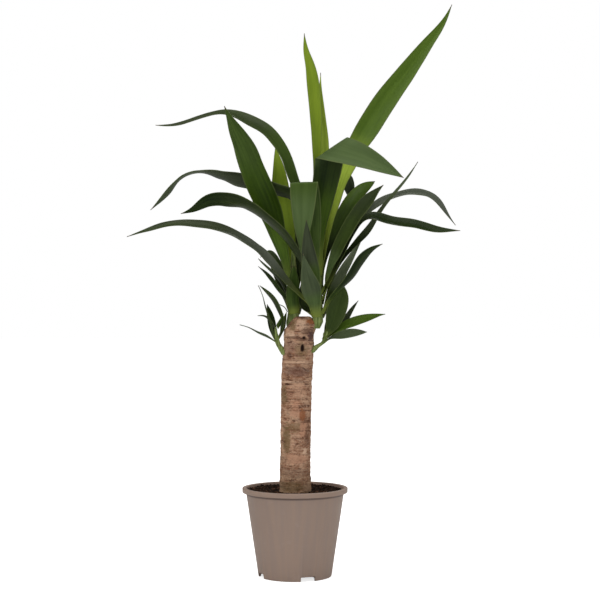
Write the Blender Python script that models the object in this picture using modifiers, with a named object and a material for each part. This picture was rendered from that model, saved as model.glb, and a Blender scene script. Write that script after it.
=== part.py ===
"""Potted yucca: a cut cane with leafy shoots, standing in soil in a tapered nursery pot.

Metres, +Z up. The origin is on the ground under the middle of the pot, and the front is toward -Y.
Sizes are written in millimetres and turned into metres by MM. Angles are in degrees, seen from above,
from +X toward +Y.
"""
import math

import bmesh
import bpy
import numpy as np
from mathutils import Matrix, Vector, noise

MM = 0.001
GAP = 0.3  # kept between pieces that touch

# Pot
RIM_RADIUS = 70.0
RIM_TOP = 117.0
RIM_SKIRT = 6.0
RIM_WALL = 1.4
RIM_ROUND = 0.9
FOOT_RADIUS = 48.5
FOOT_RING = 3.2
POT_TAPER = 0.149  # gain of radius per mm of height
POT_WALL = 1.5
FLOOR_UNDERSIDE = 3.8
FLOOR_TOP = 5.3
POT_SIDES = 64
NOTCH_WIDTH = 20.0
NOTCH_HEIGHT = 6.5
NOTCH_START = 38.0
NOTCH_AZIMUTH = -69.0  # the first, and then one every quarter turn
NOTCHES = 4

# Soil
SOIL_EDGE_HEIGHT = 113.4
SOIL_HEAP = -2.0  # the soil sinks a little round the cane
SOIL_HEAP_REACH = 34.0
SOIL_CRUMB = 1.4
SOIL_CRUMB_SIZE = 9.0
SOIL_RINGS = 9
SOIL_SIDES = 48
SOIL_FOOT_STEP = 2.2  # the plug's foot is this much inside the pot's rounded corner

# Cane: height, middle in x, half width in x, half depth in y
CANE_SECTIONS = (
    (40, 0.0, 21.5, 21.5),
    (110, 0.3, 21.4, 21.4),
    (127, 0.3, 20.6, 20.8),
    (152, 0.4, 20.2, 20.4),
    (207, 1.1, 20.1, 20.0),
    (262, 2.3, 20.4, 20.0),
    (297, 4.2, 20.6, 19.4),
    (309, 5.3, 19.9, 18.6),
    (319, 4.9, 19.6, 17.6),
    (326, 6.5, 20.2, 17.0),
    (333, 10.0, 19.0, 16.0),
    (338, 11.5, 16.0, 14.0),
    (342, 11.0, 12.0, 11.5),
    (344, 10.5, 8.5, 8.5),
)
CANE_RING_STEP = 9.0
CANE_SIDES = 20
CANE_BARK = 0.7
CANE_BARK_SIZE = 26.0

# Stems of the two leafy shoots: middle of the stem and its radius, from the foot up
STEM_SIDES = 16
SIDE_STEM_SIDES = 10
STEMS = {
    "right": (
        (27.5, -3, 328, 5.4), (30.2, -3, 336, 7.1), (30, -3, 344, 7.2), (30, -3, 410, 5.0),
        (30, -3, 470, 2.0)),
    "left": (
        (1, 8, 312, 6.5), (-3.5, 8, 334, 8.6), (-2, 8, 350, 7.4), (-2, 8, 390, 5.4),
        (-2, 8, 440, 2.0)),
}

# Blades
LEAF_THICKNESS = 0.9
LEAF_ROW_STEP = 18.0
LEAF_ROWS = (6, 16)  # fewest and most
FOLD_ROWS = 5
LEAF_LANES = 2
ROOT_CLEAR = 0.35  # from the stem to the blade's back
TIP_WIDTH = 0.8
CHANNEL = 0.2  # rise of the edges over the midrib, as a share of the half width
FOLD_RADIUS = 3.0
FOLD_SPAN = 0.10  # share of the length over which a fold flattens the channel

# Each leaf: shoot, azimuth, root height, full width, twists from root to tip,
# and its path as (reach from the stem's middle, height) or (reach, height, shift to the left looking out)
LEAVES = {
    "leaf_sword_right": (
        "right", 23, 404, 33, (0, 12, 16, 34, 52, 62, 62, 60, 58),
        ((12, 439), (18, 465), (26, 492), (45, 545), (60, 573), (82, 608), (101, 636), (123, 664),
         (145, 692), (168, 721), (190.5, 750.5), (202, 773))),
    "leaf_top_left": (
        "right", 140, 446, 17, (0, -30, -50, -50),
        ((5, 478), (2, 541), (2, 574), (3, 606), (5, 631), (9, 660), (14, 681), (20, 699), (23, 722))),
    "leaf_top_right": (
        "right", 55, 446, 16, (0, 15, 25, 25),
        ((7, 480), (10, 500), (15, 540), (14, 566), (13, 590), (9, 621), (7, 642), (7, 668))),
    "leaf_folded_right": (
        "right", -75, 398, 38, (0, -5, -15, -15, -15, -15),
        ((10, 432, -3), (20, 497, 1), (34, 563, 8), (45, 617, 7), (56, 671, -3))),
    "leaf_folded_front": (
        "right", -114, 387, 37, (0, 15, 26, 26, 26, 26),
        ((13, 410), (20, 440), (27, 470), (39, 515, -2), (64, 617, -4))),
    "leaf_right_a": (
        "right", 38, 392, 25, (0, 10, 17, 21, 28),
        ((13, 421), (32, 459), (55, 492), (68, 507), (86, 521), (100, 528))),
    "leaf_right_b": (
        "right", -20, 374, 24, (0, 60, 73, 62, 61, 72, 56),
        ((15, 400), (29, 434), (45, 462), (63, 488), (76, 502), (91, 516))),
    "leaf_right_c": (
        "right", -12, 366, 21, (10, 60, 42, 36, 30, 34, 40, 52, 45),
        ((18, 397), (35, 431), (52, 461), (61, 471), (69, 475), (78, 475), (94, 470), (126, 465),
         (157, 458), (189, 456))),
    "leaf_right_d": (
        "right", 18, 360, 18, (0, 30, 19, 8, 4, 24, 23, 48, 80, 60),
        ((18, 403), (44, 451), (66, 477), (86, 495), (118, 508), (148, 511.5), (170, 503), (188, 481),
         (199, 468))),
    "leaf_right_e": (
        "right", 4, 352, 13, (0, 22, 18, 24, 46, 33, 33, 45, 38),
        ((18, 389), (33, 418), (48, 437), (67, 458), (84, 484), (102, 507), (121, 531), (134, 550))),
    "leaf_right_f": (
        "right", -35, 347, 17, (0, -8, -6, -12, -27, -27),
        ((17, 362), (35, 380), (53, 396), (68, 417), (88, 433), (101, 438))),
    "leaf_right_g": (
        "right", 25, 342, 15, (5, 28, 44, 70, 40),
        ((19, 366), (31, 392), (47, 419), (56, 433), (68, 451))),
    "leaf_back_hook": (
        "right", 54, 372, 20, (0, 0, 0, 0, -10, -25, -35, -35),
        ((24, 440, 8), (36, 475, 12), (47, 504, 13), (56, 526, 11), (62, 535, 7), (71, 530, 3), (77, 516, 1),
         (80, 501, 0))),
    "leaf_high_left": (
        "right", 161, 420, 24, (0, -40, -46, -28, -24, -29, -36, -24, -28, -38, -45),
        ((8, 446, -4), (26, 499, -7), (39, 535, -4), (51, 565, -2), (60, 579), (70, 590), (93, 604.5),
         (122, 617), (139, 619), (174, 612.5), (210, 605.5), (235, 606.5))),
    "leaf_mid_left": (
        "right", 172, 381, 24, (0, 50, 76, 66, 54, 44, 51, 50, 27, 2, 2, 30, 27),
        ((10, 416), (24, 480), (34, 504), (50, 510), (88, 521), (116, 527), (140, 533), (164, 536),
         (184, 529), (201, 512), (227, 487))),
    "leaf_low_left": (
        "right", -162, 363, 25, (0, 16, 18, 14, 12, 20, 55, 80, 45),
        ((16, 408, -5), (34, 435, -3), (54, 457), (76, 475), (97, 488), (123, 495), (150, 494), (171, 482),
         (186, 477))),
    "leaf_lowest_left": (
        "right", -165, 350, 18, (0, -50, -76, -66, -44, -38, -42, -39, -36, -46, -42),
        ((12, 358), (30, 378), (50, 400), (74, 426), (101, 445), (132, 459), (164, 464), (195, 464),
         (227, 456), (254, 447))),
    "leaf_front_a": (
        "right", -105, 356, 23, (0, 10, 15, 15), ((14, 370), (32, 398), (51, 434), (59, 469))),
    "leaf_front_b": (
        "right", -107, 343, 26, (0, 15, 18, 18), ((15, 357), (30, 379), (50, 401), (66, 425))),
    "leaf_front_c": (
        "right", 156, 345, 18, (0, -40, -60, -60), ((13, 350), (20, 366), (23, 390))),
    "leaf_back_a": (
        "right", 95, 360, 17, (0, 15, 20, 10), ((16, 395), (30, 448), (46, 468), (62, 464), (72, 450))),
    "leaf_back_b": (
        "right", 125, 396, 22, (0, -15, -20, -10),
        ((12, 424), (24, 464), (42, 506), (58, 535), (68, 548))),
    "leaf_back_c": (
        "right", 104, 350, 20, (0, 20, 20), ((20, 385), (38, 425), (56, 442), (74, 438))),
    "leaf_back_d": (
        "right", 72, 424, 17, (0, 0, 0), ((10, 450), (16, 500), (26, 545), (39, 572))),
    "leaf_sword_left": (
        "left", -155, 372, 34, (0, 34, 48, 76, 82, 50, 20),
        ((10, 406), (22, 447), (36, 489), (53, 525), (71.5, 566), (91.5, 601), (99.5, 619))),
    "leaf_pale_back": (
        "left", 112, 384, 28, (0, -15, -36, -16, -24),
        ((12, 417), (34, 474), (47, 510), (55, 545), (68, 576))),
    "leaf_small_a": (
        "left", 148, 362, 9, (0, 10, 15), ((18, 388), (31, 408))),
    "leaf_small_b": (
        "left", 178, 364, 6, (0, 30, 50, 43), ((16, 388), (25, 399.5), (33, 407.5), (41, 415), (47, 421))),
    "leaf_small_c": (
        "left", -158, 356, 8, (0, 31, 28, 50, 40),
        ((12, 368), (22.5, 381), (31.5, 393), (41.5, 403.5), (50, 410))),
    "leaf_small_d": (
        "left", -72, 348, 17, (0, -10, -10), ((11, 362, -4), (13, 390, -4), (14, 412, -4))),
    "leaf_small_e": (
        "left", 6, 347, 15, (0, -20, -30), ((11, 356, 2), (12, 362, 2), (12, 370, 2))),
    "leaf_back_e": (
        "left", 68, 362, 18, (0, 10, 20, 10), ((13, 392), (22, 440), (34, 474), (50, 490), (64, 484))),
    "leaf_back_f": (
        "left", 128, 352, 18, (0, -15, -20), ((22, 385, 3), (39, 418, 3), (56, 431, 3), (70, 424, 3))),
    "leaf_back_g": ("left", 42, 380, 12, (0, 0, 0), ((8, 400), (10, 430), (15, 468))),
    "leaf_thin": ("left", 180, 350, 3, (0, 0, 0), ((12, 356), (20, 360))),
}
BRIGHT_LEAVES = (
    "leaf_sword_right", "leaf_sword_left", "leaf_top_left", "leaf_top_right", "leaf_pale_back")
BRIGHT_GREEN = (0.12, 0.22, 0.04)
DARK_GREEN = (0.06, 0.10, 0.03)
# Creases: share of the length, slant to the blade, angle
FOLDS = {
    "leaf_folded_right": (0.591, 41, 150),
    "leaf_folded_front": (0.563, -6, 170),
}
# Outline of a blade: width at the root, share of the length where it is widest, roundness of the tip
COMMON_OUTLINE = (0.34, 0.52, 2.0)
OUTLINES = {
    "leaf_folded_right": (0.34, 0.60, 2.0),
    "leaf_folded_front": (0.30, 0.52, 2.0),
    "leaf_front_a": (0.34, 0.46, 1.6),
    "leaf_sword_right": (0.30, 0.50, 1.75),
    "leaf_sword_left": (0.24, 0.56, 2.4),
    "leaf_top_left": (0.15, 0.72, 1.5),
    "leaf_top_right": (0.34, 0.50, 1.3),
    "leaf_mid_left": (0.28, 0.55, 2.6),
    "leaf_low_left": (0.26, 0.52, 2.6),
    "leaf_right_a": (0.20, 0.60, 4.0),
    "leaf_right_b": (0.26, 0.60, 2.5),
    "leaf_right_c": (0.34, 0.52, 2.4),
    "leaf_right_e": (0.34, 0.45, 1.2),
    "leaf_right_f": (0.40, 0.60, 1.8),
    "leaf_right_g": (0.45, 0.40, 1.4),
    "leaf_back_hook": (0.34, 0.70, 4.0),
    "leaf_front_b": (0.42, 0.42, 1.3),
    "leaf_front_c": (0.90, 0.35, 1.6),
    "leaf_small_d": (0.85, 0.45, 2.0),
    "leaf_small_b": (0.60, 0.45, 1.6),
    "leaf_small_c": (0.60, 0.45, 1.6),
    "leaf_small_e": (0.60, 0.40, 1.6),
}
# Small shoots on the cane's sides, each fused: its stem's sections, and its leaves as
# azimuth, root height, full width, twists, outline and path
SIDE_SHOOTS = {
    "side_shoot_right": (
        ((20, -4, 296, 5.5), (28, -4, 304, 5.5), (38, -4, 310, 3.6), (41, -4, 317, 2.6), (43, -4, 324, 1.5)),
        ((0, 314, 26, (90, 90, 90), (0.34, 0.55, 3.0), ((6, 322), (13, 339), (18, 355), (26, 386))),
         (8, 311, 16, (20, 45, 40), COMMON_OUTLINE, ((11, 320), (24, 329), (37, 335), (56, 341), (83, 347))),
         (-25, 308, 17, (20, 45, 50), COMMON_OUTLINE, ((10, 315), (24, 319), (38, 321), (62, 324))),
         (30, 314, 8, (20, 40, 40), COMMON_OUTLINE, ((28, 332), (43, 352), (54, 365))),
         (62, 311, 14, (0, 0, 0), COMMON_OUTLINE, ((14, 326), (26, 342), (42, 350))))),
    "side_shoot_left": (
        ((-13, -3, 293, 4.5), (-18, -3, 301, 4.6), (-22.5, -3, 308, 3.6), (-25, -3, 318, 2.6),
         (-26, -3, 330, 1.6)),
        ((180, 308, 7, (0, 45, 40), (0.8, 0.2, 0.8), ((8, 313), (16, 318), (27, 323), (38, 329), (51, 333))),
         (-165, 308, 3.6, (20, 50, 50), (0.8, 0.3, 1.2),
          ((6, 318), (10, 335), (14, 347), (18, 359), (21, 371), (27, 385))),
         (160, 312, 12, (30, 50, 50), COMMON_OUTLINE, ((-6, 339), (-1, 352), (6, 365), (16, 376), (26, 385))),
         (-175, 318, 5, (0, 35, 30), COMMON_OUTLINE, ((9, 336), (17, 344), (27, 345))),
         (120, 308, 12, (0, 0, 0), COMMON_OUTLINE, ((12, 322), (22, 345), (30, 360))),
         (-40, 328, 10, (0, 20, 20), (0.6, 0.5, 2.0), ((6, 338), (9, 348))),
         (-20, 312, 8, (0, -30, -30), COMMON_OUTLINE, ((5, 322), (8, 334), (12, 350))))),
}


def clear_scene():
    for item in list(bpy.data.objects):
        bpy.data.objects.remove(item, do_unlink=True)


def make_collection(name):
    collection = bpy.data.collections.new(name)
    bpy.context.scene.collection.children.link(collection)
    return collection


def make_material(name, colour, roughness):
    material = bpy.data.materials.new(name)
    material.use_nodes = True
    shader = material.node_tree.nodes["Principled BSDF"]
    shader.inputs["Base Color"].default_value = (*colour, 1.0)
    shader.inputs["Roughness"].default_value = roughness
    material.diffuse_color = (*colour, 1.0)
    return material


def add_object(name, mesh, collection, material=None):
    item = bpy.data.objects.new(name, mesh)
    collection.objects.link(item)
    if material:
        mesh.materials.append(material)
    return item


def mesh_from(name, bm):
    bmesh.ops.recalc_face_normals(bm, faces=bm.faces)
    mesh = bpy.data.meshes.new(name)
    bm.to_mesh(mesh)
    bm.free()
    mesh.shade_smooth()
    mesh.set_sharp_from_angle(angle=math.radians(40))
    return mesh


def cut(item, cutter):
    """Takes the cutter out of the item, and leaves the cutter hidden in its own collection."""
    cutter.hide_render = True
    cutter.display_type = "WIRE"
    modifier = item.modifiers.new("cut " + cutter.name, "BOOLEAN")
    modifier.operation = "DIFFERENCE"
    modifier.object = cutter
    modifier.solver = "EXACT"


def pot_radius(height):
    return FOOT_RADIUS + POT_TAPER * height


def rounded(centre_r, centre_z, radius, start, stop, count=3):
    """Points on an arc of the pot's profile, as (radius, height)."""
    angles = [math.radians(start + (stop - start) * i / (count - 1)) for i in range(count)]
    return [(centre_r + radius * math.cos(a), centre_z + radius * math.sin(a)) for a in angles]


def pot_profile():
    """Half section of the pot, from the floor's underside outside and up, over the rim, and down inside."""
    skirt_foot = RIM_TOP - RIM_SKIRT
    groove_top = RIM_TOP - RIM_WALL
    groove_radius = RIM_RADIUS - RIM_WALL
    inner_top = pot_radius(RIM_TOP) - POT_WALL
    foot_inside = FOOT_RADIUS - FOOT_RING
    points = [(0, FLOOR_TOP), (pot_radius(FLOOR_TOP) - POT_WALL - 2, FLOOR_TOP)]
    points += [(pot_radius(FLOOR_TOP + 2) - POT_WALL, FLOOR_TOP + 2)]
    points += [(inner_top - 0.2, RIM_TOP - 1.2), (inner_top + 0.6, RIM_TOP)]
    points += rounded(RIM_RADIUS - RIM_ROUND, RIM_TOP - RIM_ROUND, RIM_ROUND, 90, 0)
    points += [(RIM_RADIUS - 0.2, skirt_foot + 0.5), (RIM_RADIUS - RIM_WALL / 2, skirt_foot)]
    points += [(groove_radius, skirt_foot + 0.5), (groove_radius - 0.1, groove_top)]
    points += [(pot_radius(groove_top) + 0.4, groove_top), (pot_radius(groove_top - 1), groove_top - 1)]
    points += [(pot_radius(60), 60), (pot_radius(4), 4)]
    points += [(FOOT_RADIUS - 0.6, 0), (foot_inside + 0.4, 0), (foot_inside, FLOOR_UNDERSIDE)]
    points += [(0, FLOOR_UNDERSIDE)]
    return points


def screw(name, points, steps, collection, material):
    """Turns a profile of (radius, height) points round the Z axis."""
    bm = bmesh.new()
    rows = [bm.verts.new((r * MM, 0, z * MM)) for r, z in points]
    for low, high in zip(rows, rows[1:]):
        bm.edges.new((low, high))
    mesh = bpy.data.meshes.new(name)
    bm.to_mesh(mesh)
    bm.free()
    item = add_object(name, mesh, collection, material)
    turn = item.modifiers.new("turn", "SCREW")
    turn.axis = "Z"
    turn.steps = steps
    turn.render_steps = steps
    turn.use_merge_vertices = True
    turn.merge_threshold = 0.00001
    turn.use_smooth_shade = True
    return item


def notch_cutter(collection):
    """Boxes for the drain notches round the foot, in one mesh."""
    bm = bmesh.new()
    reach = FOOT_RADIUS + 10 - NOTCH_START
    for i in range(NOTCHES):
        box = bmesh.ops.create_cube(bm, size=1)["verts"]
        bmesh.ops.scale(bm, vec=Vector((reach, NOTCH_WIDTH, NOTCH_HEIGHT * 2)) * MM, verts=box)
        bmesh.ops.translate(bm, vec=Vector((NOTCH_START + reach / 2, 0, 0)) * MM, verts=box)
        turn = math.radians(NOTCH_AZIMUTH + 360 / NOTCHES * i)
        bmesh.ops.rotate(bm, cent=(0, 0, 0), matrix=Matrix.Rotation(turn, 3, "Z"), verts=box)
    return add_object("notch_cutter", mesh_from("notch_cutter", bm), collection)


def make_pot(parts, cutters):
    material = make_material("pot plastic", (0.27, 0.20, 0.165), 0.45)
    pot = screw("pot", pot_profile(), POT_SIDES, parts, material)
    cut(pot, notch_cutter(cutters))


def section_at(height):
    """Middle, half width and half depth of the cane at a height."""
    rows = np.array(CANE_SECTIONS, float)
    return [float(np.interp(height, rows[:, 0], rows[:, i])) for i in (1, 2, 3)]


def bark_relief(turn, height):
    """Rings of old leaf scars and slower swellings, in mm."""
    around = Vector((math.cos(turn), math.sin(turn), height / CANE_BARK_SIZE))
    ring = Vector((0, 7, height / (CANE_BARK_SIZE / 3)))
    return CANE_BARK * (noise.noise(around) + 0.6 * noise.noise(ring))


def cane_mesh(name, extra):
    """Stacked ovals with bark relief. extra makes the whole cane that much fatter, for a cutter."""
    low, high = CANE_SECTIONS[0][0], CANE_SECTIONS[-1][0]
    steps = round((high - low) / CANE_RING_STEP)
    bm = bmesh.new()
    rings = []
    for k in range(steps + 1):
        height = low + (high - low) * k / steps
        middle, width, depth = section_at(height)
        ring = []
        for i in range(CANE_SIDES):
            turn = math.tau * i / CANE_SIDES
            relief = bark_relief(turn, height) + extra
            x = middle + (width + relief) * math.cos(turn)
            y = (depth + relief) * math.sin(turn)
            z = height + (extra if k == steps else -extra if k == 0 else 0)
            ring.append(bm.verts.new((x * MM, y * MM, z * MM)))
        rings.append(ring)
    skin(bm, rings)
    return mesh_from(name, bm)


def skin(bm, rings):
    """Quads between rings of equal count, and a fan from a middle point on each end."""
    for below, above in zip(rings, rings[1:]):
        for i in range(len(below)):
            j = (i + 1) % len(below)
            bm.faces.new((below[i], below[j], above[j], above[i]))
    for ring in (rings[0], rings[-1]):
        middle = sum((v.co for v in ring), Vector()) / len(ring)
        tip = bm.verts.new(middle)
        for i in range(len(ring)):
            bm.faces.new((ring[i], ring[(i + 1) % len(ring)], tip))


def make_cane(parts):
    material = make_material("cane bark", (0.26, 0.15, 0.09), 0.9)
    add_object("cane", cane_mesh("cane", 0), parts, material)


def soil_height(x, y):
    """Height of the soil at a place, in mm: a low hollow round the cane, and crumbs."""
    reach = math.hypot(x, y)
    heap = SOIL_HEAP * math.exp(-((reach / SOIL_HEAP_REACH) ** 4))
    lumps = noise.noise(Vector((x, y, 3.0)) / SOIL_CRUMB_SIZE)
    swell = noise.noise(Vector((x, y, 9.0)) / (4 * SOIL_CRUMB_SIZE))
    return SOIL_EDGE_HEIGHT + heap + SOIL_CRUMB * (lumps + swell)


def soil_ring(bm, radius, height=None):
    """A ring of points: level at a height, or on the soil's top where none is given."""
    ring = []
    for i in range(SOIL_SIDES):
        turn = math.tau * i / SOIL_SIDES
        x, y = radius * math.cos(turn), radius * math.sin(turn)
        z = soil_height(x, y) if height is None else height
        ring.append(bm.verts.new(Vector((x, y, z)) * MM))
    return ring


def make_soil(parts, cutters):
    """A plug that fills the pot, with a plain hole for the cane."""
    bottom = FLOOR_TOP + GAP
    clear = POT_WALL + GAP + 0.1
    edge = pot_radius(SOIL_EDGE_HEIGHT - 2) - clear
    bm = bmesh.new()
    rings = [soil_ring(bm, pot_radius(bottom) - clear - SOIL_FOOT_STEP, bottom)]
    for k in range(SOIL_RINGS):
        rings.append(soil_ring(bm, edge * (1 - k / SOIL_RINGS)))
    skin(bm, rings)
    material = make_material("soil", (0.03, 0.02, 0.015), 1.0)
    soil = add_object("soil", mesh_from("soil", bm), parts, material)
    cut(soil, add_object("cane_hole", cane_mesh("cane_hole", GAP), cutters))


def natural_spline(points, at):
    """A natural cubic spline through points, read at shares of its length: places and directions."""
    points = np.asarray(points, float)
    knots = np.concatenate([[0], np.cumsum(np.linalg.norm(np.diff(points, axis=0), axis=1))])
    gaps = np.diff(knots)
    last = len(points) - 1
    system = np.eye(last + 1)
    right = np.zeros_like(points)
    for i in range(1, last):
        system[i, i - 1:i + 2] = gaps[i - 1], 2 * (gaps[i - 1] + gaps[i]), gaps[i]
        right[i] = 6 * ((points[i + 1] - points[i]) / gaps[i] - (points[i] - points[i - 1]) / gaps[i - 1])
    bend = np.linalg.solve(system, right)
    along = np.asarray(at) * knots[-1]
    k = np.clip(np.searchsorted(knots, along, side="right") - 1, 0, last - 1)
    h = gaps[k][:, None]
    a, b = (knots[k + 1] - along)[:, None], (along - knots[k])[:, None]
    place = (bend[k] * a**3 + bend[k + 1] * b**3) / (6 * h)
    place += (points[k] / h - bend[k] * h / 6) * a + (points[k + 1] / h - bend[k + 1] * h / 6) * b
    slope = (bend[k + 1] * b**2 - bend[k] * a**2) / (2 * h)
    slope += (points[k + 1] - points[k]) / h - (bend[k + 1] - bend[k]) * h / 6
    return place, slope / np.linalg.norm(slope, axis=1)[:, None]


def ease(share):
    return share * share * (3 - 2 * share)


def width_share(s, outline):
    """Width of a blade along its length, as a share of the full width."""
    root, widest_at, roundness = outline
    rise = root + (1 - root) * ease(np.clip(s / widest_at, 0, 1))
    fall = 1 - np.clip((s - widest_at) / (1 - widest_at), 0, 1) ** roundness
    return rise * fall


def twist_at(s, twists):
    """Eases from each twist to the next, at even steps along the blade."""
    steps = np.asarray(twists, float)
    place = np.clip(s * (len(steps) - 1), 0, len(steps) - 1)
    k = np.minimum(place.astype(int), len(steps) - 2)
    t = ease(place - k)
    return np.radians(steps[k] * (1 - t) + steps[k + 1] * t)


def unit(vectors):
    return vectors / np.linalg.norm(vectors, axis=-1, keepdims=True)


def stem_radius(shoot, height):
    sections = np.array(STEMS[shoot], float)
    return float(np.interp(height, sections[:, 2], sections[:, 3]))


def leaf_spine(axis, azimuth, path):
    """The points that a leaf's middle line passes, and the way to its left."""
    turn = math.radians(azimuth)
    out = np.array([math.cos(turn), math.sin(turn), 0])
    side = np.array([-math.sin(turn), math.cos(turn), 0])
    spine = []
    for reach, height, *shift in path:
        spine.append(np.array([*axis, height]) + out * reach + side * sum(shift))
    return spine, side


def blade_points(spine, side, width, twists, outline, fold, s, v):
    """Places on a leaf's middle surface, in mm, for shares s of the length and v from edge to edge."""
    length = sum(math.dist(a, b) for a, b in zip(spine, spine[1:]))
    flat = np.ones_like(s)
    if fold:
        fold_at, slant, angle = fold
        near = np.exp(-(((s - fold_at) / FOLD_SPAN) ** 2))
        s = np.clip(s + v * near * math.tan(math.radians(slant)) * width / 2 / length, 0, 1)
        flat = 1 - near
    place, along = natural_spline(spine, s)
    across = unit(side - along * (along @ side)[:, None])
    face = np.cross(along, across)
    twist = twist_at(s, twists)[:, None]
    across, face = (across * np.cos(twist) + face * np.sin(twist),
                    face * np.cos(twist) - across * np.sin(twist))
    half = np.maximum(width * width_share(s, outline), TIP_WIDTH) / 2
    points = place + across * (half * v)[:, None] + face * (CHANNEL * half * v * v * flat)[:, None]
    if fold:
        points = folded(points, spine, side, twists, fold)
    return points


def folded(points, spine, side, twists, fold):
    """Bends the blade's far part back over a slanting crease, round a small radius."""
    fold_at, slant, angle = fold
    place, along = natural_spline(spine, [fold_at])
    across = unit(side - along[0] * (along[0] @ side))
    face = np.cross(along[0], across)
    twist = twist_at(np.array([fold_at]), twists)[0]
    across, face = (across * math.cos(twist) + face * math.sin(twist),
                    face * math.cos(twist) - across * math.sin(twist))
    slant = math.radians(slant)
    crease = across * math.cos(slant) + along[0] * math.sin(slant)
    ahead = along[0] * math.cos(slant) - across * math.sin(slant)
    offset = points - place[0]
    past = np.maximum(offset @ ahead, 0)
    before = np.minimum(offset @ ahead, 0)
    turned = np.minimum(past / FOLD_RADIUS, math.radians(angle))
    rest = past - FOLD_RADIUS * turned
    forward = before + FOLD_RADIUS * np.sin(turned) + rest * np.cos(turned)
    down = FOLD_RADIUS * (1 - np.cos(turned)) + rest * np.sin(turned)
    lift = offset @ face
    forward = forward + lift * np.sin(turned)
    rise = lift * np.cos(turned) - down
    return (place[0] + crease * (offset @ crease)[:, None]
            + ahead * forward[:, None] + face * rise[:, None])


def stations(spine, fold):
    """Shares of the length at which a blade has a row of points, closer together round a fold."""
    length = sum(math.dist(a, b) for a, b in zip(spine, spine[1:]))
    count = min(max(round(length / LEAF_ROW_STEP), LEAF_ROWS[0]), LEAF_ROWS[1])
    rows = [i / count for i in range(count + 1)]
    if fold:
        rows = [r for r in rows if abs(r - fold[0]) > 0.04]
        rows += [fold[0] - 0.02 + 0.016 * i for i in range(FOLD_ROWS)]
    return sorted(rows)


def make_blade(name, axis, azimuth, width, twists, outline, path, fold, collection, material):
    """One leaf: a grid laid along its path, thickened to a blade."""
    spine, side = leaf_spine(axis, azimuth, path)
    rows = stations(spine, fold)
    bm = bmesh.new()
    bmesh.ops.create_grid(bm, x_segments=LEAF_LANES, y_segments=len(rows) - 1, size=1)
    verts = list(bm.verts)
    v = np.array([vert.co.x for vert in verts])
    s = np.array([rows[round((vert.co.y + 1) / 2 * (len(rows) - 1))] for vert in verts])
    for vert, point in zip(verts, blade_points(spine, side, width, twists, outline, fold, s, v)):
        vert.co = Vector(point) * MM
    mesh = bpy.data.meshes.new(name)
    bm.to_mesh(mesh)
    bm.free()
    mesh.shade_smooth()
    leaf = add_object(name, mesh, collection, material)
    skin_modifier = leaf.modifiers.new("blade", "SOLIDIFY")
    skin_modifier.thickness = LEAF_THICKNESS * MM
    skin_modifier.offset = 0
    return leaf


def make_leaves(parts):
    for name, (shoot, azimuth, root, width, twists, path) in LEAVES.items():
        colour = BRIGHT_GREEN if name in BRIGHT_LEAVES else DARK_GREEN
        material = make_material(name.replace("_", " "), colour, 0.4)
        reach = stem_radius(shoot, root) + ROOT_CLEAR + LEAF_THICKNESS / 2
        axis = STEMS[shoot][2][:2]
        path = ((reach, root), *path)
        outline = OUTLINES.get(name, COMMON_OUTLINE)
        make_blade(name, axis, azimuth, width, twists, outline, path, FOLDS.get(name), parts, material)


def stem_rings(bm, sections, sides):
    """Rings of a tapered stem through sections of (x, y, height, radius)."""
    rings = []
    for x, y, height, radius in sections:
        ring = []
        for i in range(sides):
            turn = math.tau * i / sides
            point = Vector((x + radius * math.cos(turn), y + radius * math.sin(turn), height))
            ring.append(bm.verts.new(point * MM))
        rings.append(ring)
    return rings


def make_stems(parts, cutters):
    """The two leafy stems, cut to sit on the cane's top with a small gap."""
    material = make_material("stem", (0.20, 0.24, 0.07), 0.6)
    socket = add_object("cane_socket", cane_mesh("cane_socket", GAP), cutters)
    for side, sections in STEMS.items():
        bm = bmesh.new()
        skin(bm, stem_rings(bm, sections, STEM_SIDES))
        stem = add_object("stem_" + side, mesh_from("stem_" + side, bm), parts, material)
        cut(stem, socket)


def make_side_shoots(parts):
    """The small shoots on the cane's sides: leaves fused to a stem that is cut to sit on the bark."""
    socket = bpy.data.objects["cane_socket"]
    for name, (sections, leaves) in SIDE_SHOOTS.items():
        material = make_material(name.replace("_", " "), DARK_GREEN, 0.4)
        bm = bmesh.new()
        skin(bm, stem_rings(bm, sections, SIDE_STEM_SIDES))
        shoot = add_object(name, mesh_from(name, bm), parts, material)
        blades = make_collection(name + "_blades")
        axis = sections[2][:2]
        for number, (azimuth, root, width, twists, outline, path) in enumerate(leaves):
            path = ((0, root), *path)
            leaf_name = f"{name}_{number}"
            make_blade(leaf_name, axis, azimuth, width, twists, outline, path, None, blades, None)
        fuse(shoot, blades)
        cut(shoot, socket)


def fuse(item, pieces):
    """Joins the item with every object of a collection, and removes that collection."""
    union = item.modifiers.new("fuse", "BOOLEAN")
    union.operation = "UNION"
    union.operand_type = "COLLECTION"
    union.collection = pieces
    union.solver = "EXACT"
    depsgraph = bpy.context.evaluated_depsgraph_get()
    fused = bpy.data.meshes.new_from_object(item.evaluated_get(depsgraph))
    item.modifiers.clear()
    item.data = fused
    for piece in list(pieces.objects):
        bpy.data.objects.remove(piece, do_unlink=True)
    bpy.data.collections.remove(pieces)


def main():
    clear_scene()
    parts = make_collection("potted_yucca")
    cutters = make_collection("cutters")
    make_pot(parts, cutters)
    make_cane(parts)
    make_soil(parts, cutters)
    make_stems(parts, cutters)
    make_side_shoots(parts)
    make_leaves(parts)


main()
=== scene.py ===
"""Looks of a potted yucca: fine leaves, bark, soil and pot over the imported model.

Lengths are in millimetres, turned into metres by MM, in the model's own frame: +Z up, the ground at 0,
the pot's middle at the origin and the camera on the -Y side. Angles are in degrees, seen from above.
"""
import math
import random

import bmesh
import bpy
import numpy as np
from mathutils import Matrix, Vector, noise


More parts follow.
